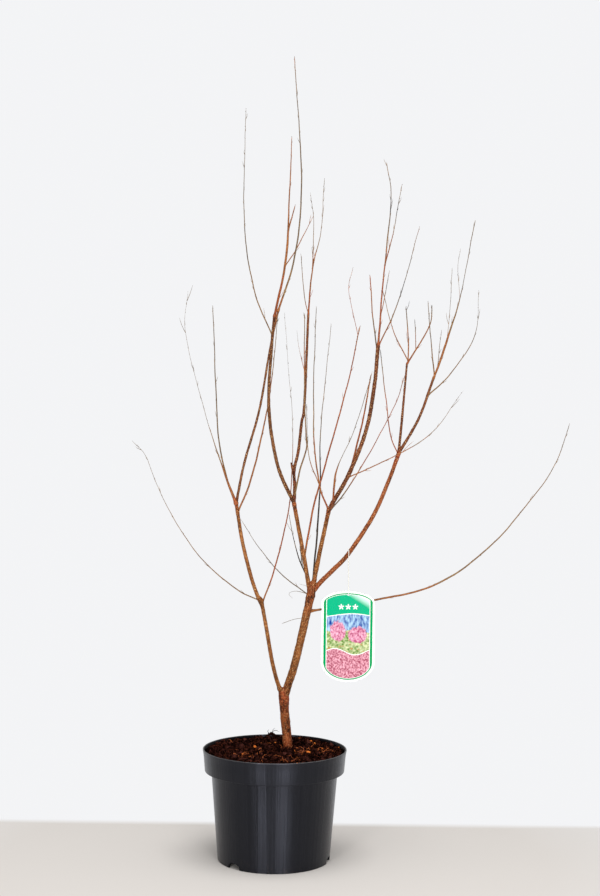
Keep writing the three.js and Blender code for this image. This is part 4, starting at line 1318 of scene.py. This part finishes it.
def soilTop(x, y):
    # height of the bed before its lumps: fuller at the back, with a small hollow round the trunk
    edge = collarRadius(soilShape["edge"]) - potShape["wall"]
    share = math.hypot(x, y) / edge
    foot = limbRows[0]["foot"]
    away = math.hypot(x - foot[0], y - foot[1])
    rise = soilShape["frontRise"] * (-y / edge)
    dip = soilShape["hollow"] * math.exp(-(away / soilShape["hollowReach"]) ** 2)
    return soilShape["edge"] + 3 * soilShape["mound"] * (1 - share ** 2) + rise - dip


def soilBed():
    # the outline keeps clear of the pot's inside, then comes in over the top in close rings
    p = potShape
    inner = p["wall"] + soilShape["clear"]
    step = p["height"] - p["collarHeight"]
    floorTop = p["channel"] + p["wall"]
    edge = collarRadius(soilShape["edge"]) - inner
    outline = [(0, p["wall"] + 0.5), (p["seat"] - 1, p["wall"] + 0.5),
               (p["seat"] + p["slope"] - 1, floorTop + 0.5), (bodyRadius(floorTop) - inner, floorTop + 0.5),
               (bodyRadius(step) - inner, step + inner), (collarRadius(step + inner) - inner, step + inner)]
    outline += [(edge * share, soilShape["edge"]) for share in np.linspace(1, 0, soilShape["ringsAcross"])]
    mesh = turned("potting_soil", outline, soilShape["segments"])
    inward = []
    rooty = []
    for vertex in mesh.vertices:
        x, y = vertex.co.x / mm, vertex.co.y / mm
        onTop = vertex.co.z > (soilShape["edge"] - 0.01) * mm
        if onTop:
            vertex.co.z = soilTop(x, y) * mm
        inward.append((edge - math.hypot(x, y)) * mm if onTop else 0.0)
        rooty.append(max(math.exp(-((x - px) ** 2 + (y - py) ** 2) / reach ** 2)
                         for px, py, reach in rootyPlaces))
    keepValues(mesh, "inward", inward)
    keepValues(mesh, "rooty", rooty)
    return mesh


def soilTree():
    tree, given, out = geometryTree("soil surface", {"Broad": 0.0, "Middle": 0.0, "Fine": 0.0,
                                                     "Material": "Material"})
    place = put(tree, "GeometryNodeInputPosition")
    rise = maths(tree, "MULTIPLY", noiseAt(tree, place, 17 * mm, 1.0, 2.0, 4.0), given["Broad"])
    rise = maths(tree, "MULTIPLY_ADD", noiseAt(tree, place, 6.5 * mm, 1.0, 2.0, 7.0), given["Middle"], rise)
    rise = maths(tree, "MULTIPLY_ADD", noiseAt(tree, place, 2.8 * mm, 1.0, 3.0, 5.0), given["Fine"], rise)
    free = remap(tree, named(tree, "inward"), 0.0, 3 * mm)
    lift = put(tree, "ShaderNodeCombineXYZ", {"Z": maths(tree, "MULTIPLY", rise, free)})
    return closeTree(tree, out, moved(tree, given["Geometry"], lift), given["Material"])


def scatterPoints(tree, given):
    # points over the bed, Margin away from the wall: Clustered draws them together where it is rooty
    chosen = maths(tree, "GREATER_THAN", named(tree, "inward"), given["Margin"])
    rooty = maths(tree, "SUBTRACT", named(tree, "rooty"), 1.0)
    share = maths(tree, "MULTIPLY_ADD", rooty, given["Clustered"], 1.0)
    density = maths(tree, "MULTIPLY", given["Density"], share)
    return put(tree, "GeometryNodeDistributePointsOnFaces", {
        "Mesh": given["Geometry"], "Selection": chosen, "Density": density, "Seed": given["Seed"]})


def anyTurn(tree, seed, tilt=math.pi):
    angles = randomValue(tree, (-tilt, -tilt, -math.pi), (tilt, tilt, math.pi), seed, "FLOAT_VECTOR")
    return put(tree, "FunctionNodeEulerToRotation", {"Euler": angles})


def crumbTree():
    # clods of four shapes in many sizes, most of them small
    tree, given, out = geometryTree("soil crumbs", {
        "Density": 60000.0, "Least": 0.0007, "Most": 0.0034, "Roundness": 2, "Seed": 1, "Clustered": 0.0,
        "Margin": 0.002, "Material": "Material"})
    points = scatterPoints(tree, given)
    shapes = add(tree, "GeometryNodeJoinGeometry")
    place = put(tree, "GeometryNodeInputPosition")
    for k in range(4):
        ball = put(tree, "GeometryNodeMeshIcoSphere", {"Radius": 1.0, "Subdivisions": given["Roundness"]})
        rough = maths(tree, "MULTIPLY", noiseAt(tree, place, 0.8, 1.0, 2.0, 10.0 + k), 0.55)
        lump = moved(tree, ball, times(tree, place, rough))
        single = put(tree, "GeometryNodeGeometryToInstance", {"Geometry": lump})
        tree.links.new(single, shapes.inputs[0])
    size = maths(tree, "POWER", randomValue(tree, 0.0, 1.0, 3), 2.6)
    span = maths(tree, "SUBTRACT", given["Most"], given["Least"])
    size = maths(tree, "MULTIPLY_ADD", size, span, given["Least"])
    flat = randomValue(tree, (0.7, 0.7, 0.5), (1.2, 1.2, 0.95), 6, "FLOAT_VECTOR")
    shaded = stored(tree, points, "shade", randomValue(tree, 0.0, 1.0, 14))
    clods = scattered(tree, shaded, shapes.outputs[0], anyTurn(tree, 5), times(tree, flat, size),
                      Pick_Instance=True, Instance_Index=randomValue(tree, 0, 3, 8, "INT"))
    return closeTree(tree, out, clods, given["Material"], smooth=False)


def rootTree():
    # dead roots and fibres that curl over the surface
    tree, given, out = geometryTree("soil fibres", {
        "Density": 9000.0, "Length": 0.013, "Thickness": 0.0005, "Seed": 1, "Clustered": 0.9, "Margin": 0.007,
        "Material": "Material"})
    points = scatterPoints(tree, given)
    arc = put(tree, "GeometryNodeCurveQuadraticBezier", {
        "Resolution": 9, "Start": (-0.5, 0.0, 0.0), "Middle": (0.0, 0.35, 0.28), "End": (0.5, 0.0, 0.02)})
    reach = maths(tree, "MULTIPLY", randomValue(tree, 0.35, 1.3, 2), given["Length"])
    laid = scattered(tree, points, arc, anyTurn(tree, 3, 0.6), reach)
    place = put(tree, "GeometryNodeInputPosition")
    bends = add(tree, "ShaderNodeTexNoise", {"Vector": place, "Scale": 260.0, "Detail": 1.0}).outputs["Color"]
    wave = times(tree, vectorMaths(tree, "SUBTRACT", bends, (0.5, 0.5, 0.5)), 0.007)
    bent = moved(tree, laid, wave)
    section = put(tree, "GeometryNodeCurvePrimitiveCircle", {"Resolution": 5, "Radius": 0.5})
    # thickest in the middle
    along = add(tree, "GeometryNodeSplineParameter").outputs["Factor"]
    middle = maths(tree, "SINE", maths(tree, "MULTIPLY", along, math.pi))
    thick = maths(tree, "MULTIPLY", maths(tree, "MULTIPLY_ADD", middle, 0.6, 0.5), given["Thickness"])
    tube = put(tree, "GeometryNodeCurveToMesh", {
        "Curve": bent, "Profile Curve": section, "Scale": thick, "Fill Caps": True})
    return closeTree(tree, out, tube, given["Material"])


def mottled(name, dark, light, size, roughness, bumpHeight, patches=1.0):
    # dark and light patches, and each scattered bit lighter or darker by its own shade
    material, tree, shader = newMaterial(name)
    noise = noiseAt(tree, objectSpace(tree), size, 1.0, 4.0, 2.0)
    shade = maths(tree, "POWER", attribute(tree, "shade"), 3.0)
    share = maths(tree, "MULTIPLY_ADD", remap(tree, noise, -0.8, 0.9), patches, shade)
    colour = mixColour(tree, remap(tree, share, 0.0, 1.0), srgb(*dark), srgb(*light))
    rough = remap(tree, noise, -1.0, 1.0, roughness, roughness - 0.12)
    dressShader(tree, shader, colour, rough, noise, 0.7, bumpHeight, 0.0)
    return material


peat = mottled("damp_peat", (2, 1, 1), (18, 8, 5), 2.2 * mm, 1.0, 0.5 * mm, 0.8)
peatCrumb = mottled("peat_crumb", (2, 1, 1), (74, 40, 34), 1.4 * mm, 0.95, 0.4 * mm, 0.16)
brownFibre = mottled("brown_fibre", (8, 4, 3), (96, 48, 34), 3.0 * mm, 0.9, 0.1 * mm)
redFibre = mottled("red_fibre", (92, 38, 20), (206, 118, 70), 4.0 * mm, 0.8, 0.1 * mm)
paleChip = mottled("bark_chip", (160, 72, 28), (226, 132, 60), 3.0 * mm, 0.75, 0.2 * mm)

soilCrumbs = crumbTree()
soilRoots = rootTree()
soilLayers = [
    ("soil_clods", soilCrumbs, {"Density": 30000.0, "Least": 1.2 * mm, "Most": 3.6 * mm, "Roundness": 2,
                                "Seed": 3, "Margin": 4.2 * mm, "Material": peatCrumb}),
    ("soil_crumbs", soilCrumbs, {"Density": 190000.0, "Least": 0.45 * mm, "Most": 1.7 * mm, "Roundness": 1,
                                 "Seed": 9, "Material": peatCrumb}),
    ("bark_chips", soilCrumbs, {"Density": 3400.0, "Least": 0.5 * mm, "Most": 1.4 * mm, "Roundness": 1,
                                "Seed": 21, "Clustered": 0.85, "Material": paleChip}),
    ("soil_roots", soilRoots, {"Density": 17000.0, "Length": 12 * mm, "Thickness": 0.5 * mm, "Seed": 5,
                               "Clustered": 0.98, "Material": redFibre}),
    ("soil_fibres", soilRoots, {"Density": 26000.0, "Length": 8 * mm, "Thickness": 0.6 * mm, "Seed": 14,
                                "Clustered": 0.0, "Margin": 6 * mm, "Material": brownFibre}),
]


def bedPath(points):
    return smoothPath([point if len(point) > 2 else (*point, soilTop(*point) + rootShape["lift"])
                       for point in points])


def singleRoots(name, rows, girths, material):
    strands = []
    for k, row in enumerate(rows):
        path = bedPath(row)
        strands.append(strand(path, taper(girths, path["length"]), rootShape["step"], lambda d: 0, 400 + k,
                              rootShape["wobble"]))
    roots = addObject(name, strandMesh(name, strands))
    useTree(roots, limbSkin, {"Sides": rootShape["sides"]})
    bake(roots)
    giveMaterials(roots, material)
    return roots


def makeBits(name, places, material):
    # single flakes and clods, each a rough lump of its own
    shape = bmesh.new()
    for k, (x, y, height, size) in enumerate(places):
        random = np.random.default_rng(60 + k)
        scale = Matrix.Diagonal((*random.uniform(0.7, 1.3, 2), random.uniform(0.5, 0.8), 1))
        spin = Matrix.Rotation(random.uniform(0, 2 * math.pi), 4, "Z")
        tilt = Matrix.Rotation(random.uniform(-0.6, 0.6), 4, "X")
        place = Matrix.Translation(Vector((x, y, soilTop(x, y) + height)) * mm)
        lump = bmesh.ops.create_icosphere(shape, subdivisions=3, radius=size * mm,
                                          matrix=place @ spin @ tilt @ scale)
        for vertex in lump["verts"]:
            vertex.co += Vector(random.uniform(-0.2, 0.2, 3)) * size * mm
    bits = addObject(name, plainMesh(name, shape))
    giveMaterials(bits, material)
    keepValues(bits.data, "shade", [0.5] * len(bits.data.vertices))
    return bits


def makeSoil():
    bed = addObject("potting_soil", soilBed())
    useTree(bed, soilTree(), {"Broad": soilShape["broad"] * mm, "Middle": soilShape["middle"] * mm,
                              "Fine": soilShape["fine"] * mm, "Material": peat})
    pieces = [bake(bed)]
    for name, tree, values in soilLayers:
        layer = addObject(name, bed.data.copy())
        useTree(layer, tree, values)
        pieces.append(bake(layer))
    pieces += [singleRoots("long_roots", rootRows, rootShape["girths"], redFibre),
               singleRoots("rim_roots", rimRootRows, rootShape["rimGirths"], peat),
               makeBits("single_chips", chipPlaces, paleChip),
               makeBits("single_clods", clodPlaces, peatCrumb)]
    for piece in pieces:
        report(piece)
        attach(piece, "plant")
    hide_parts("soil")


makeSoil()
print("soil made")


# Label: a plate of laminated card with a plain printed pattern, on a loop of twisted thread

cardLow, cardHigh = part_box("label_card")
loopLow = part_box("label_loop")[0]
cardCentre = (cardLow + cardHigh) / 2
labelShape = {"width": (cardHigh.x - cardLow.x) / mm, "height": (cardHigh.z - cardLow.z) / mm,
              "thick": (cardHigh.y - cardLow.y) / mm, "topArc": 15.5, "footArc": 25.5,
              "holeRadius": 1.6, "holeInset": 4.6, "holeSteps": 20, "steps": 28, "border": 2.7, "ring": 2.1,
              "band": 4.0, "line": 0.8, "ringLine": 0.6}
threadShape = {"innerRadius": 6.2, "footRadius": 1.6, "thick": 1.0, "ply": 0.3, "turnsPerMm": 0.42,
               "swing": (92, 2, 392), "shift": 0.4, "step": 0.35, "sides": 7}

# Each edge in the picture is a wave: height, rise, length and phase
labelPicture = {
    "skyline": (7, 2.0, 44, 0.6), "fieldLine": (-19, 4, 52, 3.6), "field": (-20.1, 4, 52, 3.6),
    "headLine": (26.5, 2.2, 90, 1.2), "head": (27.6, 2.2, 90, 1.2),
    "trees": ((-13, 7, 10.5, 13), (12.5, 2, 12.5, 11)),
    "blossoms": {"spacing": 4.5, "height": 38.0, "petals": 5.0, "radius": 2.6, "swing": 1.2, "reach": 13.4},
}
labelColours = {
    "sky": ((8, 58, 142), (172, 206, 230)), "meadow": ((84, 126, 44), (210, 214, 168)),
    "petals": ((160, 52, 98), (236, 178, 198)), "field": ((138, 34, 66), (234, 174, 188)),
    "ochre": (186, 124, 62), "head": (0, 168, 120), "glint": (214, 236, 228), "frame": (0, 146, 82),
    "white": (236, 238, 234), "back": ((244, 245, 241), (232, 233, 228)),
    "thread": ((206, 202, 190), (242, 240, 232)),
}
labelShoulder = labelShape["height"] / 2 - labelShape["topArc"]
labelHip = labelShape["footArc"] - labelShape["height"] / 2


def labelPlate():
    # a flat outline with its hole, then a wall of the card's thickness
    s = labelShape
    half = s["width"] / 2
    lower = [math.pi + angle for angle in halfTurn(s["steps"])]
    rim = arcPoints(half, s["topArc"], halfTurn(s["steps"]), labelShoulder)
    rim += arcPoints(half, s["footArc"], lower, labelHip)
    holeHeight = s["height"] / 2 - s["holeInset"]
    hole = arcPoints(s["holeRadius"], s["holeRadius"], fullTurn(s["holeSteps"]), holeHeight)
    shape = bmesh.new()
    front = cardCentre.y - s["thick"] / 2 * mm
    loops = []
    for points in (rim, hole):
        verts = [shape.verts.new((cardCentre.x + x * mm, front, cardCentre.z + z * mm)) for x, z in points]
        loops += [shape.edges.new((verts[i - 1], verts[i])) for i in range(len(verts))]
    bmesh.ops.triangle_fill(shape, use_beauty=True, edges=loops)
    back = bmesh.ops.extrude_face_region(shape, geom=shape.faces[:] + shape.edges[:])["geom"]
    for vertex in (v for v in back if isinstance(v, bmesh.types.BMVert)):
        vertex.co.y += s["thick"] * mm
    bmesh.ops.recalc_face_normals(shape, faces=shape.faces)
    for face in shape.faces:
        face.material_index = 0 if face.normal.y < -0.5 else 1
    return plainMesh("plant_label", shape)


def insetGroup():
    # 1 inside the label's own outline, drawn in by Inset millimetres
    s = labelShape
    tree, given, out = newTree("label outline", "ShaderNodeTree", {"X": 0.0, "Z": 0.0, "Inset": 0.0},
                               {"Mask": "Float"})

    def squared(value, reach):
        share = maths(tree, "DIVIDE", value, maths(tree, "SUBTRACT", reach, given["Inset"]))
        return maths(tree, "MULTIPLY", share, share)

    over = maths(tree, "MAXIMUM", maths(tree, "SUBTRACT", given["Z"], labelShoulder), 0.0)
    under = maths(tree, "MAXIMUM", maths(tree, "SUBTRACT", labelHip, given["Z"]), 0.0)
    ends = maths(tree, "ADD", squared(over, s["topArc"]), squared(under, s["footArc"]))
    total = maths(tree, "ADD", squared(given["X"], s["width"] / 2), ends)
    tree.links.new(maths(tree, "LESS_THAN", total, 1.0), out.inputs["Mask"])
    return tree


labelOutline = insetGroup()


def labelPrint():
    # a meadow in blossom under a clear sky, with a green head and a green frame
    material, tree, shader = newMaterial("label_print")
    s, picture = labelShape, labelPicture
    flat = {name: srgb(*colour) for name, colour in labelColours.items() if len(colour) == 3}
    # millimetres across and up from the middle of the card
    space = times(tree, vectorMaths(tree, "SUBTRACT", objectSpace(tree), tuple(cardCentre)), 1 / mm)
    parts = axes(tree, space)
    x, z = parts["X"], parts["Z"]

    def within(inset):
        return put(tree, "ShaderNodeGroup", {"X": x, "Z": z, "Inset": inset}, node_tree=labelOutline)

    def under(height, rise, length, phase):
        swing = maths(tree, "SINE", maths(tree, "MULTIPLY_ADD", x, 2 * math.pi / length, phase))
        return maths(tree, "LESS_THAN", z, maths(tree, "MULTIPLY_ADD", swing, rise, height))

    def daub(size, stretch, seed, name):
        # loose dabs of two colours
        noise = noiseAt(tree, space, size, stretch, 2.0, seed)
        dark, light = labelColours[name]
        return mixColour(tree, remap(tree, noise, -0.7, 0.7), srgb(*dark), srgb(*light))

    def blot(centreX, centreZ, wide, high):
        # a round mass with a ragged edge
        across = maths(tree, "DIVIDE", maths(tree, "SUBTRACT", x, centreX), wide)
        up = maths(tree, "DIVIDE", maths(tree, "SUBTRACT", z, centreZ), high)
        away = maths(tree, "ADD", maths(tree, "MULTIPLY", across, across), maths(tree, "MULTIPLY", up, up))
        ragged = noiseAt(tree, space, 3.2, 1.0, 3.0, 9.0)
        return remap(tree, maths(tree, "MULTIPLY_ADD", ragged, 0.4, away), 1.05, 0.85)

    sky = daub(2.6, 2.6, 2.0, "sky")
    meadow = daub(3.0, 0.9, 1.0, "meadow")
    ochre = maths(tree, "MULTIPLY", remap(tree, noiseAt(tree, space, 7.0, 0.5, 1.0, 8.0), 0.5, 0.6), 0.7)
    meadow = mixColour(tree, ochre, meadow, flat["ochre"])
    shown = mixColour(tree, under(*picture["skyline"]), sky, meadow)
    petals = daub(2.2, 1.3, 5.0, "petals")
    for place in picture["trees"]:
        shown = mixColour(tree, blot(*place), shown, petals)
    shown = mixColour(tree, under(*picture["fieldLine"]), shown, flat["white"])
    shown = mixColour(tree, under(*picture["field"]), shown, daub(2.0, 1.2, 6.0, "field"))
    shown = mixColour(tree, under(*picture["headLine"]), flat["white"], shown)
    # a painted glint: the green head pales to white towards its upper right corner
    glint = remap(tree, maths(tree, "MULTIPLY_ADD", x, 0.6, z), 52.0, 62.0)
    head = mixColour(tree, glint, flat["head"], flat["glint"])
    shown = mixColour(tree, under(*picture["head"]), head, shown)
    # three small five-petalled blossoms in a row
    row = picture["blossoms"]
    across = put(tree, "ShaderNodeMath", {0: x, 1: row["spacing"], 2: -row["spacing"]}, operation="WRAP")
    up = maths(tree, "SUBTRACT", z, row["height"])
    away = vectorMaths(tree, "LENGTH", put(tree, "ShaderNodeCombineXYZ", {"X": across, "Y": up}))
    petal = maths(tree, "COSINE", maths(tree, "MULTIPLY", maths(tree, "ARCTAN2", across, up), row["petals"]))
    edge = maths(tree, "MULTIPLY_ADD", petal, row["swing"], row["radius"])
    side = maths(tree, "ABSOLUTE", x)
    inRow = maths(tree, "LESS_THAN", side, row["reach"])
    inBloom = maths(tree, "MULTIPLY", maths(tree, "LESS_THAN", away, edge), inRow)
    shown = mixColour(tree, inBloom, shown, flat["white"])
    # a green band down each side, with a white line round the picture
    bandEdge = s["width"] / 2 - s["border"] - s["band"]
    between = maths(tree, "LESS_THAN", side, bandEdge)
    lined = maths(tree, "LESS_THAN", side, bandEdge + s["line"])
    inLine = maths(tree, "MULTIPLY", within(s["border"] + s["ring"] - s["ringLine"]), lined)
    inPicture = maths(tree, "MULTIPLY", within(s["border"] + s["ring"]), between)
    framed = mixColour(tree, inLine, flat["frame"], flat["white"])
    framed = mixColour(tree, inPicture, framed, shown)
    colour = mixColour(tree, within(s["border"]), flat["white"], framed)
    rub = rubbed(tree, space, 1 / mm)
    rough = remap(tree, rub["Mask"], 0.0, 1.0, 0.18, 0.32)
    dressShader(tree, shader, colour, rough, rub["Height"], 0.06, 0.05 * mm, 0.06)
    return material


def labelBack():
    # the plain back and the cut edge of the card
    material, tree, shader = newMaterial("label_back")
    rub = rubbed(tree, objectSpace(tree))
    pale, grubby = labelColours["back"]
    colour = mixColour(tree, rub["Mask"], srgb(*pale), srgb(*grubby))
    rough = remap(tree, rub["Mask"], 0.0, 1.0, 0.24, 0.4)
    dressShader(tree, shader, colour, rough, rub["Height"], 0.08, 0.05 * mm)
    return material


def threadFinish():
    material, tree, shader = newMaterial("white_thread")
    noise = noiseAt(tree, objectSpace(tree), 0.4 * mm, 1.0, 2.0, 7.0)
    dark, light = labelColours["thread"]
    colour = mixColour(tree, remap(tree, noise, -1.0, 1.0), srgb(*dark), srgb(*light))
    dressShader(tree, shader, colour, 0.8, noise, 0.5, 0.1 * mm)
    return material


def makeThread():
    # two plies wound round the loop's line, over the bough and through the card's hole
    s = threadShape
    radius, foot = s["innerRadius"] + s["thick"] / 2, s["footRadius"]
    bottom = (loopLow.z - s["swing"][2] * mm) / mm + s["thick"] / 2 + foot
    upper = [(0, y, z) for y, z in arcPoints(radius, radius, halfTurn(24))]
    lower = [(s["shift"], y, z) for y, z in arcPoints(-foot, -foot, halfTurn(12), bottom)]
    corners = np.array(upper + lower + upper[:1], float) + np.array(s["swing"])
    along = distancesAlong(corners)
    count = int(along[-1] / s["step"])
    distance = np.linspace(0, along[-1], count, endpoint=False)
    points = pointAt({"line": corners, "along": along}, distance)
    heading = np.roll(points, -1, axis=0) - np.roll(points, 1, axis=0)
    heading /= np.linalg.norm(heading, axis=1, keepdims=True)
    across = np.array((1.0, 0, 0)) - heading * heading[:, :1]
    across /= np.linalg.norm(across, axis=1, keepdims=True)
    aside = np.cross(heading, across)
    turns = round(along[-1] * s["turnsPerMm"])
    vertices, edges = [], []
    for ply in range(2):
        angle = (2 * math.pi * turns * distance / along[-1] + math.pi * ply)[:, None]
        wound = points + (s["thick"] / 2 - s["ply"]) * (across * np.cos(angle) + aside * np.sin(angle))
        vertices += (wound * mm).tolist()
        edges += [(ply * count + i, ply * count + (i + 1) % count) for i in range(count)]
    mesh = bpy.data.meshes.new("label_thread")
    mesh.from_pydata(vertices, edges, [])
    keepValues(mesh, "girth", [s["ply"] * mm] * len(vertices))
    thread = addObject("label_thread", mesh)
    useTree(thread, limbSkin, {"Sides": s["sides"]})
    bake(thread)
    giveMaterials(thread, threadFinish())
    return thread


label = addObject("plant_label", labelPlate())
giveMaterials(label, labelPrint(), labelBack())
thread = makeThread()
for piece, node, slot in ((label, "label_card", "label_card"), (thread, "label_loop", "label_thread")):
    report(piece)
    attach(piece, "label")
    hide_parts(node)
print("label made")


# Floor, light and backdrop

studio = {
    "floor": (221, 216, 211), "floorReach": 30.0, "backdrop": (0.90, 0.905, 0.92), "fade": (0.35, 0.95),
    "wallFoot": (0.158, 0.182), "behind": 0.46, "front": 0.03, "above": 0.4, "softBehind": 0.06,
    "softFront": 0.24,
    # name, place, aimed at, width and height, watts
    "lamps": [
        ("left_strip", (-0.87, -2.25, 0.45), (0.0, 0.0, 0.45), (0.24, 0.9), 20),
        ("right_strip", (0.66, -2.3, 0.45), (0.0, 0.0, 0.45), (0.85, 0.9), 31),
        ("top_box", (0.1, -0.5, 2.4), (0.05, 0.0, 0.4), (1.6, 1.4), 32),
    ],
}
black = (0, 0, 0, 1)


def paleFloor():
    # a plain floor that brightens with distance, and soon behind the pot, until it meets the backdrop
    material, tree, shader = newMaterial("pale_floor")
    space = objectSpace(tree)
    away = remap(tree, vectorMaths(tree, "LENGTH", space), *studio["fade"])
    behind = remap(tree, axes(tree, space)["Y"], *studio["wallFoot"])
    away = maths(tree, "MAXIMUM", away, behind)
    glow = mixColour(tree, away, black, (*studio["backdrop"], 1))
    base = mixColour(tree, away, srgb(*studio["floor"]), black)
    tree.links.new(base, shader.inputs["Base Color"])
    tree.links.new(glow, shader.inputs["Emission Color"])
    for name, value in (("Roughness", 1.0), ("Specular IOR Level", 0.0), ("Emission Strength", 1.0)):
        shader.inputs[name].default_value = value
    return material


def studioWorld():
    # the camera sees an even backdrop; the object is lit by a bright wall behind it and a dim room in front
    world = bpy.data.worlds.new("studio")
    world.use_nodes = True
    tree = world.node_tree
    tree.nodes.clear()
    parts = axes(tree, add(tree, "ShaderNodeTexCoord").outputs["Generated"])
    rays = add(tree, "ShaderNodeLightPath").outputs
    soft = remap(tree, parts["Y"], -0.1, 0.65, studio["softFront"], studio["softBehind"])
    wall = remap(tree, parts["Y"], -0.1, 0.65, studio["front"], studio["behind"])
    wall = maths(tree, "MULTIPLY_ADD", maths(tree, "SUBTRACT", soft, wall), rays["Is Diffuse Ray"], wall)
    level = maths(tree, "MULTIPLY_ADD", remap(tree, parts["Z"], 0.2, 1.0), studio["above"], wall)
    lit = put(tree, "ShaderNodeBackground", {"Color": (1, 1, 1, 1), "Strength": level})
    shown = put(tree, "ShaderNodeBackground", {"Color": (*studio["backdrop"], 1), "Strength": 1.0})
    mix = put(tree, "ShaderNodeMixShader", {0: rays["Is Camera Ray"], 1: lit, 2: shown})
    tree.links.new(mix, tree.nodes.new("ShaderNodeOutputWorld").inputs[0])
    return world


def makeStudio():
    mesh = bpy.data.meshes.new("floor")
    reach = studio["floorReach"]
    corners = [(-reach, -reach, 0), (reach, -reach, 0), (reach, reach, 0), (-reach, reach, 0)]
    mesh.from_pydata(corners, [], [(0, 1, 2, 3)])
    floor = addObject("floor", mesh)
    giveMaterials(floor, paleFloor())
    bpy.context.scene.world = studioWorld()
    for name, place, aim, size, power in studio["lamps"]:
        lamp = addObject(name, bpy.data.lights.new(name, "AREA"))
        lamp.data.shape = "RECTANGLE"
        lamp.data.size, lamp.data.size_y = size
        lamp.data.energy = power
        facing = (Vector(aim) - Vector(place)).to_track_quat("-Z", "Y")
        lamp.matrix_world = Matrix.Translation(place) @ facing.to_matrix().to_4x4()
    bpy.context.scene.view_settings.view_transform = "Standard"
    bpy.context.scene.view_settings.look = "None"


makeStudio()

print("finished")
